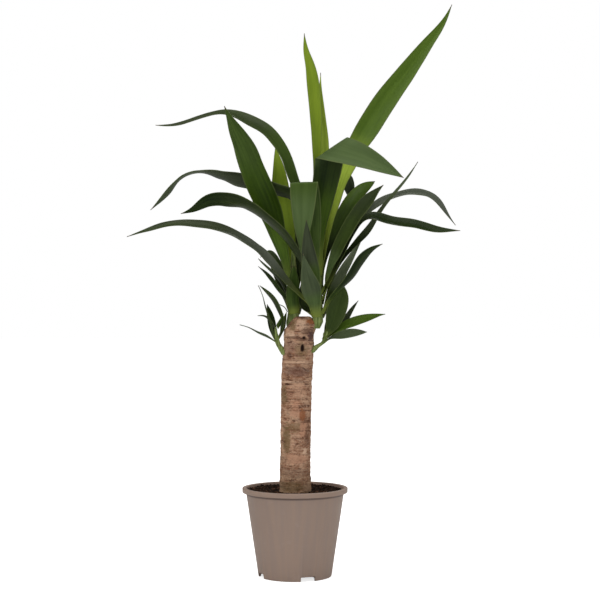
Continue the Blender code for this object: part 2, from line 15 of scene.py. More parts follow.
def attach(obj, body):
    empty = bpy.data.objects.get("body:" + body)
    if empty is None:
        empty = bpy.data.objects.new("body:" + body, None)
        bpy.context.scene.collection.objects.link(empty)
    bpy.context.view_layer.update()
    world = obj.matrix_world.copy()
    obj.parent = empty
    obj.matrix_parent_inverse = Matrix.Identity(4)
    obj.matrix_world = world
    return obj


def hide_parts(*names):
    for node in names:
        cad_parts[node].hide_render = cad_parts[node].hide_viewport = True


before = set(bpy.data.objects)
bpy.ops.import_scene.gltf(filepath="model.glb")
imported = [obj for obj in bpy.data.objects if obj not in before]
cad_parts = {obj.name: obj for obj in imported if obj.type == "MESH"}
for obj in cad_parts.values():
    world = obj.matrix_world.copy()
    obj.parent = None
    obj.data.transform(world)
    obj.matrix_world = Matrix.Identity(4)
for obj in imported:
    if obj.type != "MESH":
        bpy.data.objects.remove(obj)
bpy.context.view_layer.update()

MM = 0.001

# Camera: level, looking along +Y, as in the photograph
CAMERA_PLACE = (0.0066, -2.0, 0.3658)
CAMERA_LENS = 90.36  # mm, on a sensor 36 mm wide
SENSOR_WIDTH = 36.0

# Lights: place, size across, power in watts, colour; each one points at LIGHT_TARGET
LIGHT_TARGET = (0.0, 0.0, 0.40)
LIGHTS = {
    "softbox_top": ((-0.25, -0.35, 2.1), 1.3, 15.0, (1.0, 0.99, 0.97)),
    "softbox_left": ((-1.6, -1.5, 1.0), 1.1, 7.5, (1.0, 0.98, 0.96)),
    "softbox_right": ((1.5, -1.7, 0.9), 1.1, 6.0, (0.97, 0.98, 1.0)),
    "softbox_back": ((0.5, 1.9, 1.5), 1.2, 9.0, (1.0, 1.0, 0.96)),
}
SKY_LIGHT = 0.50
SKY_MIRRORED = 0.04  # what shiny surfaces see of it
BACKDROP = 1.0  # what the camera sees of it

# Pot
RIM_RADIUS = 70.0
RIM_TOP = 117.0
RIM_SKIRT = 6.0
RIM_WALL = 1.4
RIM_ROUND = 0.9
FOOT_RADIUS = 48.5
FOOT_RING = 3.2
POT_TAPER = 0.149
POT_WALL = 1.5
FLOOR_UNDERSIDE = 3.8
FLOOR_TOP = 5.3
POT_SIDES = 192
NOTCH_WIDTH = 20.0
NOTCH_HEIGHT = 6.5
NOTCH_START = 38.0
NOTCH_AZIMUTH = -69.0
NOTCHES = 4
NOTCH_ROUND = 1.6
EDGE_ROUND = 0.3

# Soil
SOIL_EDGE_HEIGHT = 113.4
SOIL_HEAP = -2.0  # the soil sinks a little round the cane
SOIL_HEAP_REACH = 34.0
SOIL_CRUMB = 1.4
SOIL_CRUMB_SIZE = 9.0
SOIL_FINE_RINGS = 46
SOIL_FINE_SIDES = 200
SOIL_FINE_RELIEF = 0.9
SOIL_FINE_SIZE = 3.2
SOIL_CLEAR = 0.4  # between the soil and the pot's wall
SOIL_SKIRT = 14.0  # how far the fine top reaches down the pot's wall
CRUMBS = 1500
CRUMB_SIZES = (0.7, 2.6)  # half widths
CHIPS = 70
CHIP_SIZES = (2.2, 4.4)
CHIP_FLATNESS = 0.45
CRUMB_SEED = 5
CHIP_SEED = 6

# Cane: height, middle in x, half width in x, half depth in y
CANE_SECTIONS = (
    (40, 0.0, 21.5, 21.5),
    (110, 0.3, 21.4, 21.4),
    (127, 0.3, 20.6, 20.8),
    (152, 0.4, 20.2, 20.4),
    (207, 1.1, 20.1, 20.0),
    (262, 2.3, 20.4, 20.0),
    (297, 4.2, 20.6, 19.4),
    (309, 5.3, 19.9, 18.6),
    (319, 4.9, 19.6, 17.6),
    (326, 6.5, 20.2, 17.0),
    (333, 10.0, 19.0, 16.0),
    (338, 11.5, 16.0, 14.0),
    (342, 11.0, 12.0, 11.5),
    (344, 10.5, 8.5, 8.5),
)
CANE_SHOWN_FROM = 96.0
CANE_FINE_STEP = 1.3
CANE_FINE_SIDES = 168
CANE_BARK = 0.7
CANE_BARK_SIZE = 26.0
SCAR_STEP = 8.6  # between the rings that old leaves left
SCAR_DEPTH = 0.45
CRACK_DEPTH = 0.4
GRAIN_DEPTH = 0.35
ROUGH_DEPTH = 0.4
TORN_DEPTH = 1.6
TORN_FROM = 330  # from here up the bark is torn
TORN_OVER = 12
# Old buds: x, height, half width, half height, depth
KNOTS = ((12.5, 316, 2.8, 2.6, 2.6), (10.2, 302.5, 3.0, 6.0, 3.0), (-9.0, 262, 2.0, 2.6, 1.0),
         (14.0, 228, 2.2, 1.8, 1.0))

# Bark colours
BARK_BROWN = (0.32, 0.158, 0.092)
BARK_LIGHT = (0.53, 0.325, 0.210)
BARK_PALE = (0.68, 0.46, 0.32)
BARK_DARK = (0.090, 0.042, 0.028)
BARK_BLACK = (0.020, 0.009, 0.007)
BARK_OLIVE = (0.155, 0.105, 0.042)
BARK_RUST = (0.30, 0.10, 0.035)
BARK_PEACH = (0.56, 0.30, 0.19)
BARK_PURPLE = (0.085, 0.042, 0.042)
# Patches on the front: x, height, half width, half height, colour, share.
# Most are the bark's own colours; the first two are painted shadow under the left stem's foot.
BARK_AND_SHADOW_PATCHES = (
    # Painted shadow under the left stem's foot
    (-8, 339, 5, 7, BARK_BLACK, 0.8),
    (-3, 333, 4, 6, BARK_OLIVE, 0.7),
    (8, 343, 10, 2, BARK_DARK, 0.9),
    (10, 333, 7, 5, BARK_PALE, 0.6),
    (22, 337, 6, 6, BARK_RUST, 0.9),
    (17, 325, 6, 4, BARK_DARK, 0.7),
    (22, 319, 4, 7, BARK_PURPLE, 0.8),
    (-6, 320, 7, 1.5, BARK_PALE, 0.8),
    (-4, 316, 9, 1.5, BARK_DARK, 0.7),
    (10, 314, 8, 2, BARK_DARK, 0.6),
    (-8, 303, 8, 8, BARK_PURPLE, 0.35),
    (9, 300, 7, 9, BARK_OLIVE, 0.5),
    (2, 284, 18, 1.5, BARK_PALE, 0.5),
    (2, 272, 18, 6, BARK_PURPLE, 0.5),
    (-10, 258, 6, 1.5, BARK_PALE, 0.9),
    (-9, 255, 6, 1, BARK_BLACK, 0.6),
    (-15, 240, 4, 12, BARK_OLIVE, 0.6),
    (2, 245, 9, 10, BARK_PEACH, 0.3),
    (1, 222, 6, 8, BARK_PEACH, 0.7),
    (10, 214, 3, 9, BARK_RUST, 0.7),
    (0, 198, 12, 5, BARK_OLIVE, 0.5),
    (11, 196, 4, 8, BARK_PEACH, 0.8),
    (-11, 182, 4, 14, BARK_OLIVE, 0.7),
    (16, 184, 3, 10, BARK_DARK, 0.5),
    (13, 166, 2.5, 4, BARK_PALE, 0.9),
    (2, 157, 12, 5, BARK_PEACH, 0.6),
    (0, 138, 14, 5, BARK_DARK, 0.3),
    (-5, 120, 12, 6, BARK_OLIVE, 0.5),
)
CAP_SHARES = (0.85, 0.65, 0.4, 0.15)
CAP_SINK = 1.5

# Soil and pot colours
SOIL_DARK = (0.008, 0.004, 0.002)
SOIL_BROWN = (0.032, 0.015, 0.008)
SOIL_LIGHT = (0.07, 0.034, 0.018)
SOIL_DUST = (0.22, 0.16, 0.12)
CHIP_DARK = (0.035, 0.016, 0.009)
CHIP_LIGHT = (0.16, 0.07, 0.035)
POT_TAUPE = (0.315, 0.232, 0.190)
POT_WARM = (0.340, 0.243, 0.190)
POT_DUST = (0.40, 0.31, 0.27)
# Painted highlight: the rim's band a little lighter and warmer than the wall
POT_RIM_HIGHLIGHT = (0.34, 0.235, 0.180)
# Painted shade, laid on the pot's left side and on a band just under the rim
POT_SHADE = (0.09, 0.06, 0.05)
FLOOR_GLOW = 0.75  # for the camera alone, so that the floor is as white as the backdrop
FLOOR_HALF = 12.0  # metres

# Stems of the two leafy shoots: middle of the stem and its radius, from the foot up
STEM_FINE_SIDES = 40
STEM_FINE_STEP = 1.5
STEMS = {
    "right": (
        (27.5, -3, 328, 5.4), (30.2, -3, 336, 7.1), (30, -3, 344, 7.2), (30, -3, 410, 5.0),
        (30, -3, 470, 2.0)),
    "left": (
        (1, 8, 312, 6.5), (-3.5, 8, 334, 8.6), (-2, 8, 350, 7.4), (-2, 8, 390, 5.4),
        (-2, 8, 440, 2.0)),
}
STEM_GREEN = (0.10, 0.15, 0.03)
STEM_PALE = (0.26, 0.32, 0.10)
STEM_BROWN = (0.13, 0.075, 0.035)

# Blades
LEAF_THICKNESS = 0.9
ROOT_CLEAR = 0.35
TIP_WIDTH = 0.8
CHANNEL = 0.2
FOLD_RADIUS = 3.0
FOLD_SPAN = 0.10
FINE_ROW_STEP = 4.0
FINE_FOLD_ROWS = 26
FINE_LANES = 13
THICK_MIDDLE = 1.3
THICK_EDGE = 0.6
EDGE_WAVE = 0.8
EDGE_WAVE_LENGTH = 26.0
DENT = 0.4
CLASP_LENGTH = 22.0
CLASP_WIDER = 0.5
CLASP_TURN = 1.9  # radians each way

# Leaf colours: deep, light, underside, roughness. Besides the leaves' own greens they hold painted light and
# shade:
# dark and deep are dark green darkened further as painted shade; flap is a lighter green as painted light on
# faces turned up to the lamps; grey, sheen and silver are lightened with a painted grey sheen; lime and
# straw are the young leaves' own yellow-green, brightened as painted light shining through them from behind.
LEAF_TINTS = {
    "dark": ((0.016, 0.026, 0.007), (0.042, 0.062, 0.017), (0.040, 0.058, 0.020), 0.42),
    "deep": ((0.008, 0.018, 0.003), (0.022, 0.040, 0.006), (0.018, 0.032, 0.006), 0.42),
    "slate": ((0.028, 0.037, 0.018), (0.055, 0.070, 0.036), (0.055, 0.070, 0.034), 0.38),
    "grey": ((0.042, 0.060, 0.026), (0.080, 0.108, 0.052), (0.080, 0.105, 0.050), 0.38),
    "green": ((0.022, 0.048, 0.002), (0.050, 0.094, 0.006), (0.036, 0.066, 0.006), 0.44),
    "mid": ((0.028, 0.054, 0.007), (0.062, 0.105, 0.018), (0.060, 0.100, 0.018), 0.42),
    "flap": ((0.050, 0.084, 0.022), (0.100, 0.150, 0.050), (0.095, 0.145, 0.048), 0.40),
    "fresh": ((0.040, 0.082, 0.005), (0.078, 0.138, 0.013), (0.080, 0.140, 0.014), 0.44),
    "moss": ((0.020, 0.038, 0.006), (0.052, 0.082, 0.016), (0.045, 0.070, 0.016), 0.42),
    "sheen": ((0.050, 0.060, 0.040), (0.120, 0.132, 0.100), (0.100, 0.115, 0.085), 0.34),
    "silver": ((0.090, 0.118, 0.060), (0.200, 0.240, 0.145), (0.180, 0.215, 0.125), 0.38),
    "lime": ((0.095, 0.160, 0.006), (0.205, 0.295, 0.020), (0.190, 0.270, 0.020), 0.46),
    "straw": ((0.170, 0.260, 0.016), (0.420, 0.560, 0.075), (0.330, 0.440, 0.050), 0.46),
}
# Colours in even steps from root to tip; the others are dark.
# Each look paints in the light and shade along its leaf as well as the leaf's own colour.
LEAF_LOOKS = {
    "sword_right": "straw straw fresh fresh fresh",
    "sword_left": "fresh green mid",
    "top_left": "lime",
    "top_right": "straw",
    "pale_back": "lime",
    # Painted shade on the rising part under the crease, and painted light on the flap
    "folded_right": "green green deep flap flap",
    "folded_front": "mid mid flap",
    "high_left": "flap mid dark slate",
    "mid_left": "dark dark slate grey",
    "lowest_left": "slate sheen slate dark",
    "low_left": "slate dark dark deep",
    "front_a": "mid slate",
    "front_b": "flap grey grey",
    "right_a": "dark mid fresh",
    "right_b": "flap moss dark",
    "right_c": "dark deep",
    "right_d": "slate sheen",
    "right_e": "moss deep slate grey",
    "right_f": "moss deep deep",
    # Painted light: this leaf faces away from the lamps but is given a light grey-green
    "right_g": "flap silver silver",
    "back_hook": "slate",
    "small_a": "deep",
    "small_b": "slate grey",
    "small_c": "deep",
    "small_d": "mid",
    "thin": "slate",
}
SHOOT_LOOKS = {
    "side_shoot_right": "moss fresh grey slate deep",
    "side_shoot_left": "grey dark dark slate deep mid dark",
}
TINT_CHANGE = 0.08  # half the share of a blade over which one tint turns into the next
LEAF_EDGE = (0.12, 0.15, 0.05)
LEAF_BASE = (0.190, 0.240, 0.040)
LEAF_TIP = (0.10, 0.085, 0.045)

# Leaves of each shoot: azimuth, root height, full width, twists from root to tip, path as (reach from
# the stem's middle, height) or (reach, height, shift to the left looking out), outline if not the common one
RIGHT_LEAVES = {
    "sword_right": (23, 404, 33, (0, 12, 16, 34, 52, 62, 62, 60, 58), ((12, 439), (18, 465), (26, 492),
        (45, 545), (60, 573), (82, 608), (101, 636), (123, 664), (145, 692), (168, 721), (190.5, 750.5),
        (202, 773)), 0.30, 0.50, 1.75),
    "top_left": (140, 446, 17, (0, -30, -50, -50), ((5, 478), (2, 541), (2, 574), (3, 606), (5, 631),
        (9, 660), (14, 681), (20, 699), (23, 722)), 0.15, 0.72, 1.5),
    "top_right": (55, 446, 16, (0, 15, 25, 25), ((7, 480), (10, 500), (15, 540), (14, 566), (13, 590),
        (9, 621), (7, 642), (7, 668)), 0.34, 0.50, 1.3),
    "folded_right": (-75, 398, 38, (0, -5, -15, -15, -15, -15), ((10, 432, -3), (20, 497, 1),
        (34, 563, 8), (45, 617, 7), (56, 671, -3)), 0.34, 0.60, 2.0),
    "folded_front": (-114, 387, 37, (0, 15, 26, 26, 26, 26), ((13, 410), (20, 440), (27, 470),
        (39, 515, -2), (64, 617, -4)), 0.30, 0.52, 2.0),
    "right_a": (38, 392, 25, (0, 10, 17, 21, 28), ((13, 421), (32, 459), (55, 492), (68, 507),
        (86, 521), (100, 528)), 0.20, 0.60, 4.0),
    "right_b": (-20, 374, 24, (0, 60, 73, 62, 61, 72, 56), ((15, 400), (29, 434), (45, 462), (63, 488),
        (76, 502), (91, 516)), 0.26, 0.60, 2.5),
    "right_c": (-12, 366, 21, (10, 60, 42, 36, 30, 34, 40, 52, 45), ((18, 397), (35, 431), (52, 461),
        (61, 471), (69, 475), (78, 475), (94, 470), (126, 465), (157, 458), (189, 456)),
        0.34, 0.52, 2.4),
    "right_d": (18, 360, 18, (0, 30, 19, 8, 4, 24, 23, 48, 80, 60), ((18, 403), (44, 451), (66, 477),
        (86, 495), (118, 508), (148, 511.5), (170, 503), (188, 481), (199, 468))),
    "right_e": (4, 352, 13, (0, 22, 18, 24, 46, 33, 33, 45, 38), ((18, 389), (33, 418), (48, 437),
        (67, 458), (84, 484), (102, 507), (121, 531), (134, 550)), 0.34, 0.45, 1.2),
    "right_f": (-35, 347, 17, (0, -8, -6, -12, -27, -27), ((17, 362), (35, 380), (53, 396), (68, 417),
        (88, 433), (101, 438)), 0.40, 0.60, 1.8),
    "right_g": (25, 342, 15, (5, 28, 44, 70, 40), ((19, 366), (31, 392), (47, 419), (56, 433),
        (68, 451)), 0.45, 0.40, 1.4),
    "back_hook": (54, 372, 20, (0, 0, 0, 0, -10, -25, -35, -35), ((24, 440, 8), (36, 475, 12),
        (47, 504, 13), (56, 526, 11), (62, 535, 7), (71, 530, 3), (77, 516, 1), (80, 501, 0)),
        0.34, 0.70, 4.0),
    "high_left": (161, 420, 24, (0, -40, -46, -28, -24, -29, -36, -24, -28, -38, -45), ((8, 446, -4),
        (26, 499, -7), (39, 535, -4), (51, 565, -2), (60, 579), (70, 590), (93, 604.5), (122, 617),
        (139, 619), (174, 612.5), (210, 605.5), (235, 606.5))),
    "mid_left": (172, 381, 24, (0, 50, 76, 66, 54, 44, 51, 50, 27, 2, 2, 30, 27), ((10, 416), (24, 480),
        (34, 504), (50, 510), (88, 521), (116, 527), (140, 533), (164, 536), (184, 529), (201, 512),
        (227, 487)), 0.28, 0.55, 2.6),
    "low_left": (-162, 363, 25, (0, 16, 18, 14, 12, 20, 55, 80, 45), ((16, 408, -5), (34, 435, -3),
        (54, 457), (76, 475), (97, 488), (123, 495), (150, 494), (171, 482), (186, 477)),
        0.26, 0.52, 2.6),
    "lowest_left": (-165, 350, 18, (0, -50, -76, -66, -44, -38, -42, -39, -36, -46, -42), ((12, 358),
        (30, 378), (50, 400), (74, 426), (101, 445), (132, 459), (164, 464), (195, 464), (227, 456),
        (254, 447))),
    "front_a": (-105, 356, 23, (0, 10, 15, 15), ((14, 370), (32, 398), (51, 434), (59, 469)),
        0.34, 0.46, 1.6),
    "front_b": (-107, 343, 26, (0, 15, 18, 18), ((15, 357), (30, 379), (50, 401), (66, 425)),
        0.42, 0.42, 1.3),
    "front_c": (156, 345, 18, (0, -40, -60, -60), ((13, 350), (20, 366), (23, 390)), 0.90, 0.35, 1.6),
    "back_a": (95, 360, 17, (0, 15, 20, 10), ((16, 395), (30, 448), (46, 468), (62, 464), (72, 450))),
    "back_b": (125, 396, 22, (0, -15, -20, -10), ((12, 424), (24, 464), (42, 506), (58, 535),
        (68, 548))),
    "back_c": (104, 350, 20, (0, 20, 20), ((20, 385), (38, 425), (56, 442), (74, 438))),
    "back_d": (72, 424, 17, (0, 0, 0), ((10, 450), (16, 500), (26, 545), (39, 572))),
}
LEFT_LEAVES = {
    "sword_left": (-155, 372, 34, (0, 34, 48, 76, 82, 50, 20), ((10, 406), (22, 447), (36, 489),
        (53, 525), (71.5, 566), (91.5, 601), (99.5, 619)), 0.24, 0.56, 2.4),
    "pale_back": (112, 384, 28, (0, -15, -36, -16, -24), ((12, 417), (34, 474), (47, 510), (55, 545),
        (68, 576))),
    "small_a": (148, 362, 9, (0, 10, 15), ((18, 388), (31, 408))),
    "small_b": (178, 364, 6, (0, 30, 50, 43), ((16, 388), (25, 399.5), (33, 407.5), (41, 415),
        (47, 421)), 0.60, 0.45, 1.6),
    "small_c": (-158, 356, 8, (0, 31, 28, 50, 40), ((12, 368), (22.5, 381), (31.5, 393), (41.5, 403.5),
        (50, 410)), 0.60, 0.45, 1.6),
    "small_d": (-72, 348, 17, (0, -10, -10), ((11, 362, -4), (13, 390, -4), (14, 412, -4)),
        0.85, 0.45, 2.0),
    "small_e": (6, 347, 15, (0, -20, -30), ((11, 356, 2), (12, 362, 2), (12, 370, 2)), 0.60, 0.40, 1.6),
    "back_e": (68, 362, 18, (0, 10, 20, 10), ((13, 392), (22, 440), (34, 474), (50, 490), (64, 484))),
    "back_f": (128, 352, 18, (0, -15, -20), ((22, 385, 3), (39, 418, 3), (56, 431, 3), (70, 424, 3))),
    "back_g": (42, 380, 12, (0, 0, 0), ((8, 400), (10, 430), (15, 468))),
    "thin": (180, 350, 3, (0, 0, 0), ((12, 356), (20, 360))),
}
BRIGHT_LEAVES = ("sword_right", "sword_left", "top_left", "top_right", "pale_back")
# Creases: share of the length, slant to the blade, angle
FOLDS = {
    "folded_right": (0.591, 41, 150),
    "folded_front": (0.563, -6, 170),
}
# Outline: width at the root, share of the length where the blade is widest, roundness of the tip
COMMON_OUTLINE = (0.34, 0.52, 2.0)
# Small shoots on the cane's sides, each fused: its stem's sections, and its leaves as above
SIDE_SHOOTS = {
    "side_shoot_right": (
        ((20, -4, 296, 5.5), (28, -4, 304, 5.5), (38, -4, 310, 3.6), (41, -4, 317, 2.6),
         (43, -4, 324, 1.5)),
        (
            (0, 314, 26, (90, 90, 90), ((6, 322), (13, 339), (18, 355), (26, 386)), 0.34, 0.55, 3.0),
            (8, 311, 16, (20, 45, 40), ((11, 320), (24, 329), (37, 335), (56, 341), (83, 347))),
            (-25, 308, 17, (20, 45, 50), ((10, 315), (24, 319), (38, 321), (62, 324))),
            (30, 314, 8, (20, 40, 40), ((28, 332), (43, 352), (54, 365))),
            (62, 311, 14, (0, 0, 0), ((14, 326), (26, 342), (42, 350))),
        )),
    "side_shoot_left": (
        ((-13, -3, 293, 4.5), (-18, -3, 301, 4.6), (-22.5, -3, 308, 3.6), (-25, -3, 318, 2.6),
         (-26, -3, 330, 1.6)),
        (
            (180, 308, 7, (0, 45, 40), ((8, 313), (16, 318), (27, 323), (38, 329), (51, 333)),
                0.8, 0.2, 0.8),
            (-165, 308, 3.6, (20, 50, 50), ((6, 318), (10, 335), (14, 347), (18, 359), (21, 371),
                (27, 385)), 0.8, 0.3, 1.2),
            (160, 312, 12, (30, 50, 50), ((-6, 339), (-1, 352), (6, 365), (16, 376), (26, 385))),
            (-175, 318, 5, (0, 35, 30), ((9, 336), (17, 344), (27, 345))),
            (120, 308, 12, (0, 0, 0), ((12, 322), (22, 345), (30, 360))),
            (-40, 328, 10, (0, 20, 20), ((6, 338), (9, 348)), 0.6, 0.5, 2.0),
            (-20, 312, 8, (0, -30, -30), ((5, 322), (8, 334), (12, 350))),
        )),
}


def set_all(thing, **settings):
    for key, value in settings.items():
        setattr(thing, key, value)
    return thing


def feed(tree, socket, value):
    """Sets a socket to a number or a colour, or links it to another node's output."""
    if isinstance(value, bpy.types.NodeSocket):
        tree.links.new(value, socket)
    elif socket.type == "RGBA" and len(value) == 3:
        socket.default_value = (*value, 1.0)
    else:
        socket.default_value = value


def add_node(tree, kind, *values, **settings):
    """Adds a node and feeds its first inputs, leaving one alone for None, and returns its outputs."""
    node = set_all(tree.nodes.new("ShaderNode" + kind), **settings)
    for socket, value in zip(node.inputs, values):
        if value is not None:
            feed(tree, socket, value)
    return node.outputs


class Graph:
    """A material's node tree, with a short method for each kind of node it needs."""

    def __init__(self, name, specular):
        self.material = bpy.data.materials.new(name)
        self.material.use_nodes = True
        self.tree = self.material.node_tree
        self.shade("Specular IOR Level", specular)

    def shade(self, name, value):
        """Sets one of the surface's own inputs."""
        feed(self.tree, self.tree.nodes["Principled BSDF"].inputs[name], value)

    def add(self, kind, *values, **settings):
        return add_node(self.tree, kind, *values, **settings)

    def attribute(self, name):
        return self.add("Attribute", attribute_name=name)["Vector"]

    def place(self):
        """The object's own coordinates, in metres."""
        return self.add("TexCoord")["Object"]

    def split(self, vector):
        return self.add("SeparateXYZ", vector)

    def math(self, operation, *values):
        return self.add("Math", *values, operation=operation)[0]

    def times(self, a, b):
        return self.math("MULTIPLY", a, b)

    def plus(self, a, b, share=1.0):
        """The first value and a share of the second one."""
        return self.math("ADD", a, self.times(b, share))

    def vector(self, operation, *values):
        return self.add("VectorMath", *values, operation=operation)

    def band(self, value, low, high, start=0.0, stop=1.0):
        """Goes smoothly from start to stop as the value goes from low to high."""
        return self.add("MapRange", value, low, high, start, stop, interpolation_type="SMOOTHSTEP")[0]

    def noise(self, place, scale, detail=2.0, roughness=0.5):
        """Noise from 0 to 1, with one scale or with a scale along each axis."""
        if isinstance(scale, tuple):
            place, scale = self.vector("MULTIPLY", place, scale)[0], 1.0
        return self.add("TexNoise", place, None, scale, detail, roughness)["Fac"]

    def mix(self, share, a, b):
        """Blends two colours, which are the node's seventh and eighth inputs."""
        between = [None] * 5
        return self.add("Mix", share, *between, a, b, data_type="RGBA")[2]

    def tinted(self, colour, *layers):
        """Lays tints over a colour. Each comes with a value, and its share is that value's band."""
        for tint, value, *ends in layers:
            colour = self.mix(self.band(value, *ends), colour, tint)
        return colour

    def spot(self, place, middle, half_sizes):
        """1 inside an oval round a place, fading to 0 at twice its size."""
        away = self.vector("SUBTRACT", place, Vector(middle) * MM)[0]
        away = self.vector("MULTIPLY", away, [1 / (half * MM) for half in half_sizes])[0]
        return self.band(self.vector("LENGTH", away)["Value"], 0.5, 2.0, 1.0, 0.0)

    def finish(self, colour, roughness, relief=None, distance=0.0, strength=1.0):
        self.shade("Base Color", colour)
        self.shade("Roughness", roughness)
        if relief is not None:
            bump = self.tree.nodes.new("ShaderNodeBump")
            for name, value in (("Strength", strength), ("Distance", distance), ("Height", relief)):
                feed(self.tree, bump.inputs[name], value)
            self.shade("Normal", bump.outputs[0])
        return self.material


def leaf_material(look):
    """Waxy leaf: fine veins along it, slow streaks, a pale thin edge, a light base and a dry tip.

    "blade" holds mm across, mm along and the leaf's own number. "spot" holds the share across from edge
    to edge, the share along, and 1 on the underside. The look's tints follow one another from root to tip.
    """
    g = Graph("leaf " + look, specular=0.10)
    blade = g.attribute("blade")
    across, along, below = g.split(g.attribute("spot"))
    side = g.math("ABSOLUTE", across)
    veins = g.noise(blade, (1.5, 0.012, 13.0), 2.0, 0.6)
    streaks = g.noise(blade, (0.16, 0.006, 7.0))
    clouds = g.noise(blade, (0.05, 0.018, 3.0), 3.0)
    # The tints carry painted light and shade along the leaf as well as the leaf's own greens
    tints = look.split()
    deep, light, under, sheen = LEAF_TINTS[tints[0]]
    for k, tint in enumerate(tints[1:], 1):
        change = g.band(along, k / len(tints) - TINT_CHANGE, k / len(tints) + TINT_CHANGE)
        deep, light, under = (g.mix(change, a, b) for a, b in zip((deep, light, under), LEAF_TINTS[tint]))
    share = g.plus(g.plus(g.times(streaks, 0.9), clouds, 0.7), veins, 0.35)
    colour = g.mix(g.band(share, 0.72, 1.20), deep, light)
    colour = g.tinted(
        g.mix(g.times(below, 0.55), colour, under),
        (light, side, 0.0, 0.10, 0.35, 0.0),
        (LEAF_EDGE, side, 0.87, 1.0, 0.0, 0.6),
        (LEAF_BASE, g.plus(along, veins, 0.06), 0.04, 0.25, 0.85, 0.0),
        (LEAF_TIP, g.plus(along, g.math("SUBTRACT", clouds, 0.5), 0.05), 0.97, 0.995))
    roughness = g.plus(sheen, g.math("SUBTRACT", streaks, 0.5), 0.25)
    return g.finish(colour, roughness, g.plus(veins, streaks, 1.5), 0.00025, 0.6)


def bark_material():
    """Rough bark: mottled brown with pale and dark flecks lying across it, dark cracks, and patches."""
    g = Graph("cane bark", specular=0.08)
    place = g.place()
    z = g.split(place)[2]
    scar, crack, knot = g.split(g.attribute("bark"))
    slow = g.noise(place, (55, 55, 50), 3.0, 0.6)
    blots = g.noise(place, (105, 105, 230), 4.0, 0.65)
    fleck = g.noise(place, (270, 270, 520), 4.0, 0.7)
    fibre = g.noise(place, (700, 700, 160), 3.0, 0.6)
    rings = g.noise(place, (26, 26, 380), 3.0, 0.6)
    colour = g.tinted(
        BARK_BROWN,
        (BARK_LIGHT, slow, 0.42, 0.60),
        (BARK_LIGHT, blots, 0.52, 0.60, 0.0, 0.7),
        (BARK_DARK, blots, 0.36, 0.44, 0.8, 0.0),
        (BARK_DARK, rings, 0.36, 0.46, 0.55, 0.0),
        (BARK_PALE, rings, 0.55, 0.66, 0.0, 0.5),
        (BARK_PALE, fleck, 0.54, 0.68, 0.0, 0.6),
        (BARK_DARK, fleck, 0.34, 0.45, 0.4, 0.0),
        (BARK_DARK, fibre, 0.58, 0.74, 0.0, 0.3),
        (BARK_PALE, scar, 0.7, 1.0, 0.0, 0.35),
        (BARK_DARK, scar, 0.0, 0.2, 0.45, 0.0),
        (BARK_BLACK, crack, 0.4, 0.9, 0.0, 0.6))
    ragged = g.times(g.math("SUBTRACT", g.plus(rings, fleck), 1.0), 2.6)
    # The bark's own patches, and two patches of painted shadow under the left stem's foot
    for (px, pz, half_x, half_z, tint, share) in BARK_AND_SHADOW_PATCHES:
        spot = g.spot(place, (px, -20, pz), (half_x, 16, half_z))
        mask = g.band(g.plus(spot, ragged), 0.30, 0.85, 0.0, share)
        colour = g.mix(g.times(mask, g.band(spot, 0.0, 0.2)), colour, tint)
    colour = g.tinted(colour, (BARK_OLIVE, z, 0.112, 0.150, 0.35, 0.0), (BARK_BLACK, knot, 0.1, 0.9))
    relief = g.plus(g.plus(g.times(fleck, 0.7), fibre, 0.6), blots, 1.2)
    return g.finish(colour, g.band(fleck, 0.3, 0.7, 0.95, 0.75), relief, 0.0014)


def soil_material(name, dark, light, scale):
    """Peat and bark crumbs: near black, with brown fibres and grey dust."""
    g = Graph(name, specular=0.12)
    place = g.place()
    lumps = g.noise(place, scale, 4.0, 0.7)
    grains = g.noise(place, scale * 5, 3.0, 0.7)
    colour = g.tinted(dark, (light, lumps, 0.4, 0.65), (SOIL_DUST, grains, 0.66, 0.76, 0.0, 0.15))
    return g.finish(colour, g.band(grains, 0.3, 0.7, 1.0, 0.8), g.plus(lumps, grains, 0.5), 0.0008)


def pot_material():
    """Thin moulded plastic: taupe, satin, with faint flow marks up the wall and a little dust."""
    g = Graph("pot plastic", specular=0.35)
    place = g.place()
    x, y, z = g.split(place)
    turn = g.math("ARCTAN2", y, x)
    flow = g.noise(g.add("CombineXYZ", g.times(turn, 9.0), g.times(z, 12.0))[0], 1.0, 3.0)
    dust = g.noise(place, 70.0, 4.0, 0.65)
    grain = g.noise(place, 2600.0, 2.0, 0.6)
    colour = g.tinted(
        POT_TAUPE,
        (POT_WARM, flow, 0.35, 0.65),
        (POT_DUST, dust, 0.55, 0.8, 0.0, 0.35),
        # Painted shade: the pot's left side darker, where the light falls less
        (POT_SHADE, x, -0.062, -0.020, 0.14, 0.0),
        # Painted highlight on the rim's band
        (POT_RIM_HIGHLIGHT, z, 0.1095, 0.1115, 0.0, 0.6))
    # Painted shadow: a dark band on the wall just under the rim's skirt, where the rim shades it
    groove = g.times(g.band(z, 0.1072, 0.1088), g.band(z, 0.1108, 0.1112, 1.0, 0.0))
    colour = g.mix(g.times(groove, 0.75), colour, POT_SHADE)
    roughness = g.plus(g.band(dust, 0.4, 0.8, 0.44, 0.62), flow, 0.06)
    return g.finish(colour, roughness, grain, 0.00004, 0.5)


def stem_material():
    """Young stem and leaf sheaths: yellow-green, with brown rings and fibres."""
    g = Graph("stem", specular=0.3)
    place = g.place()
    streaks = g.noise(place, (500, 500, 40), 3.0)
    rings = g.noise(place, (30, 30, 260))
    colour = g.tinted(
        STEM_GREEN, (STEM_PALE, streaks, 0.35, 0.65), (STEM_BROWN, rings, 0.58, 0.7, 0.0, 0.6))
    return g.finish(colour, 0.6, g.plus(streaks, rings), 0.0004, 0.6)


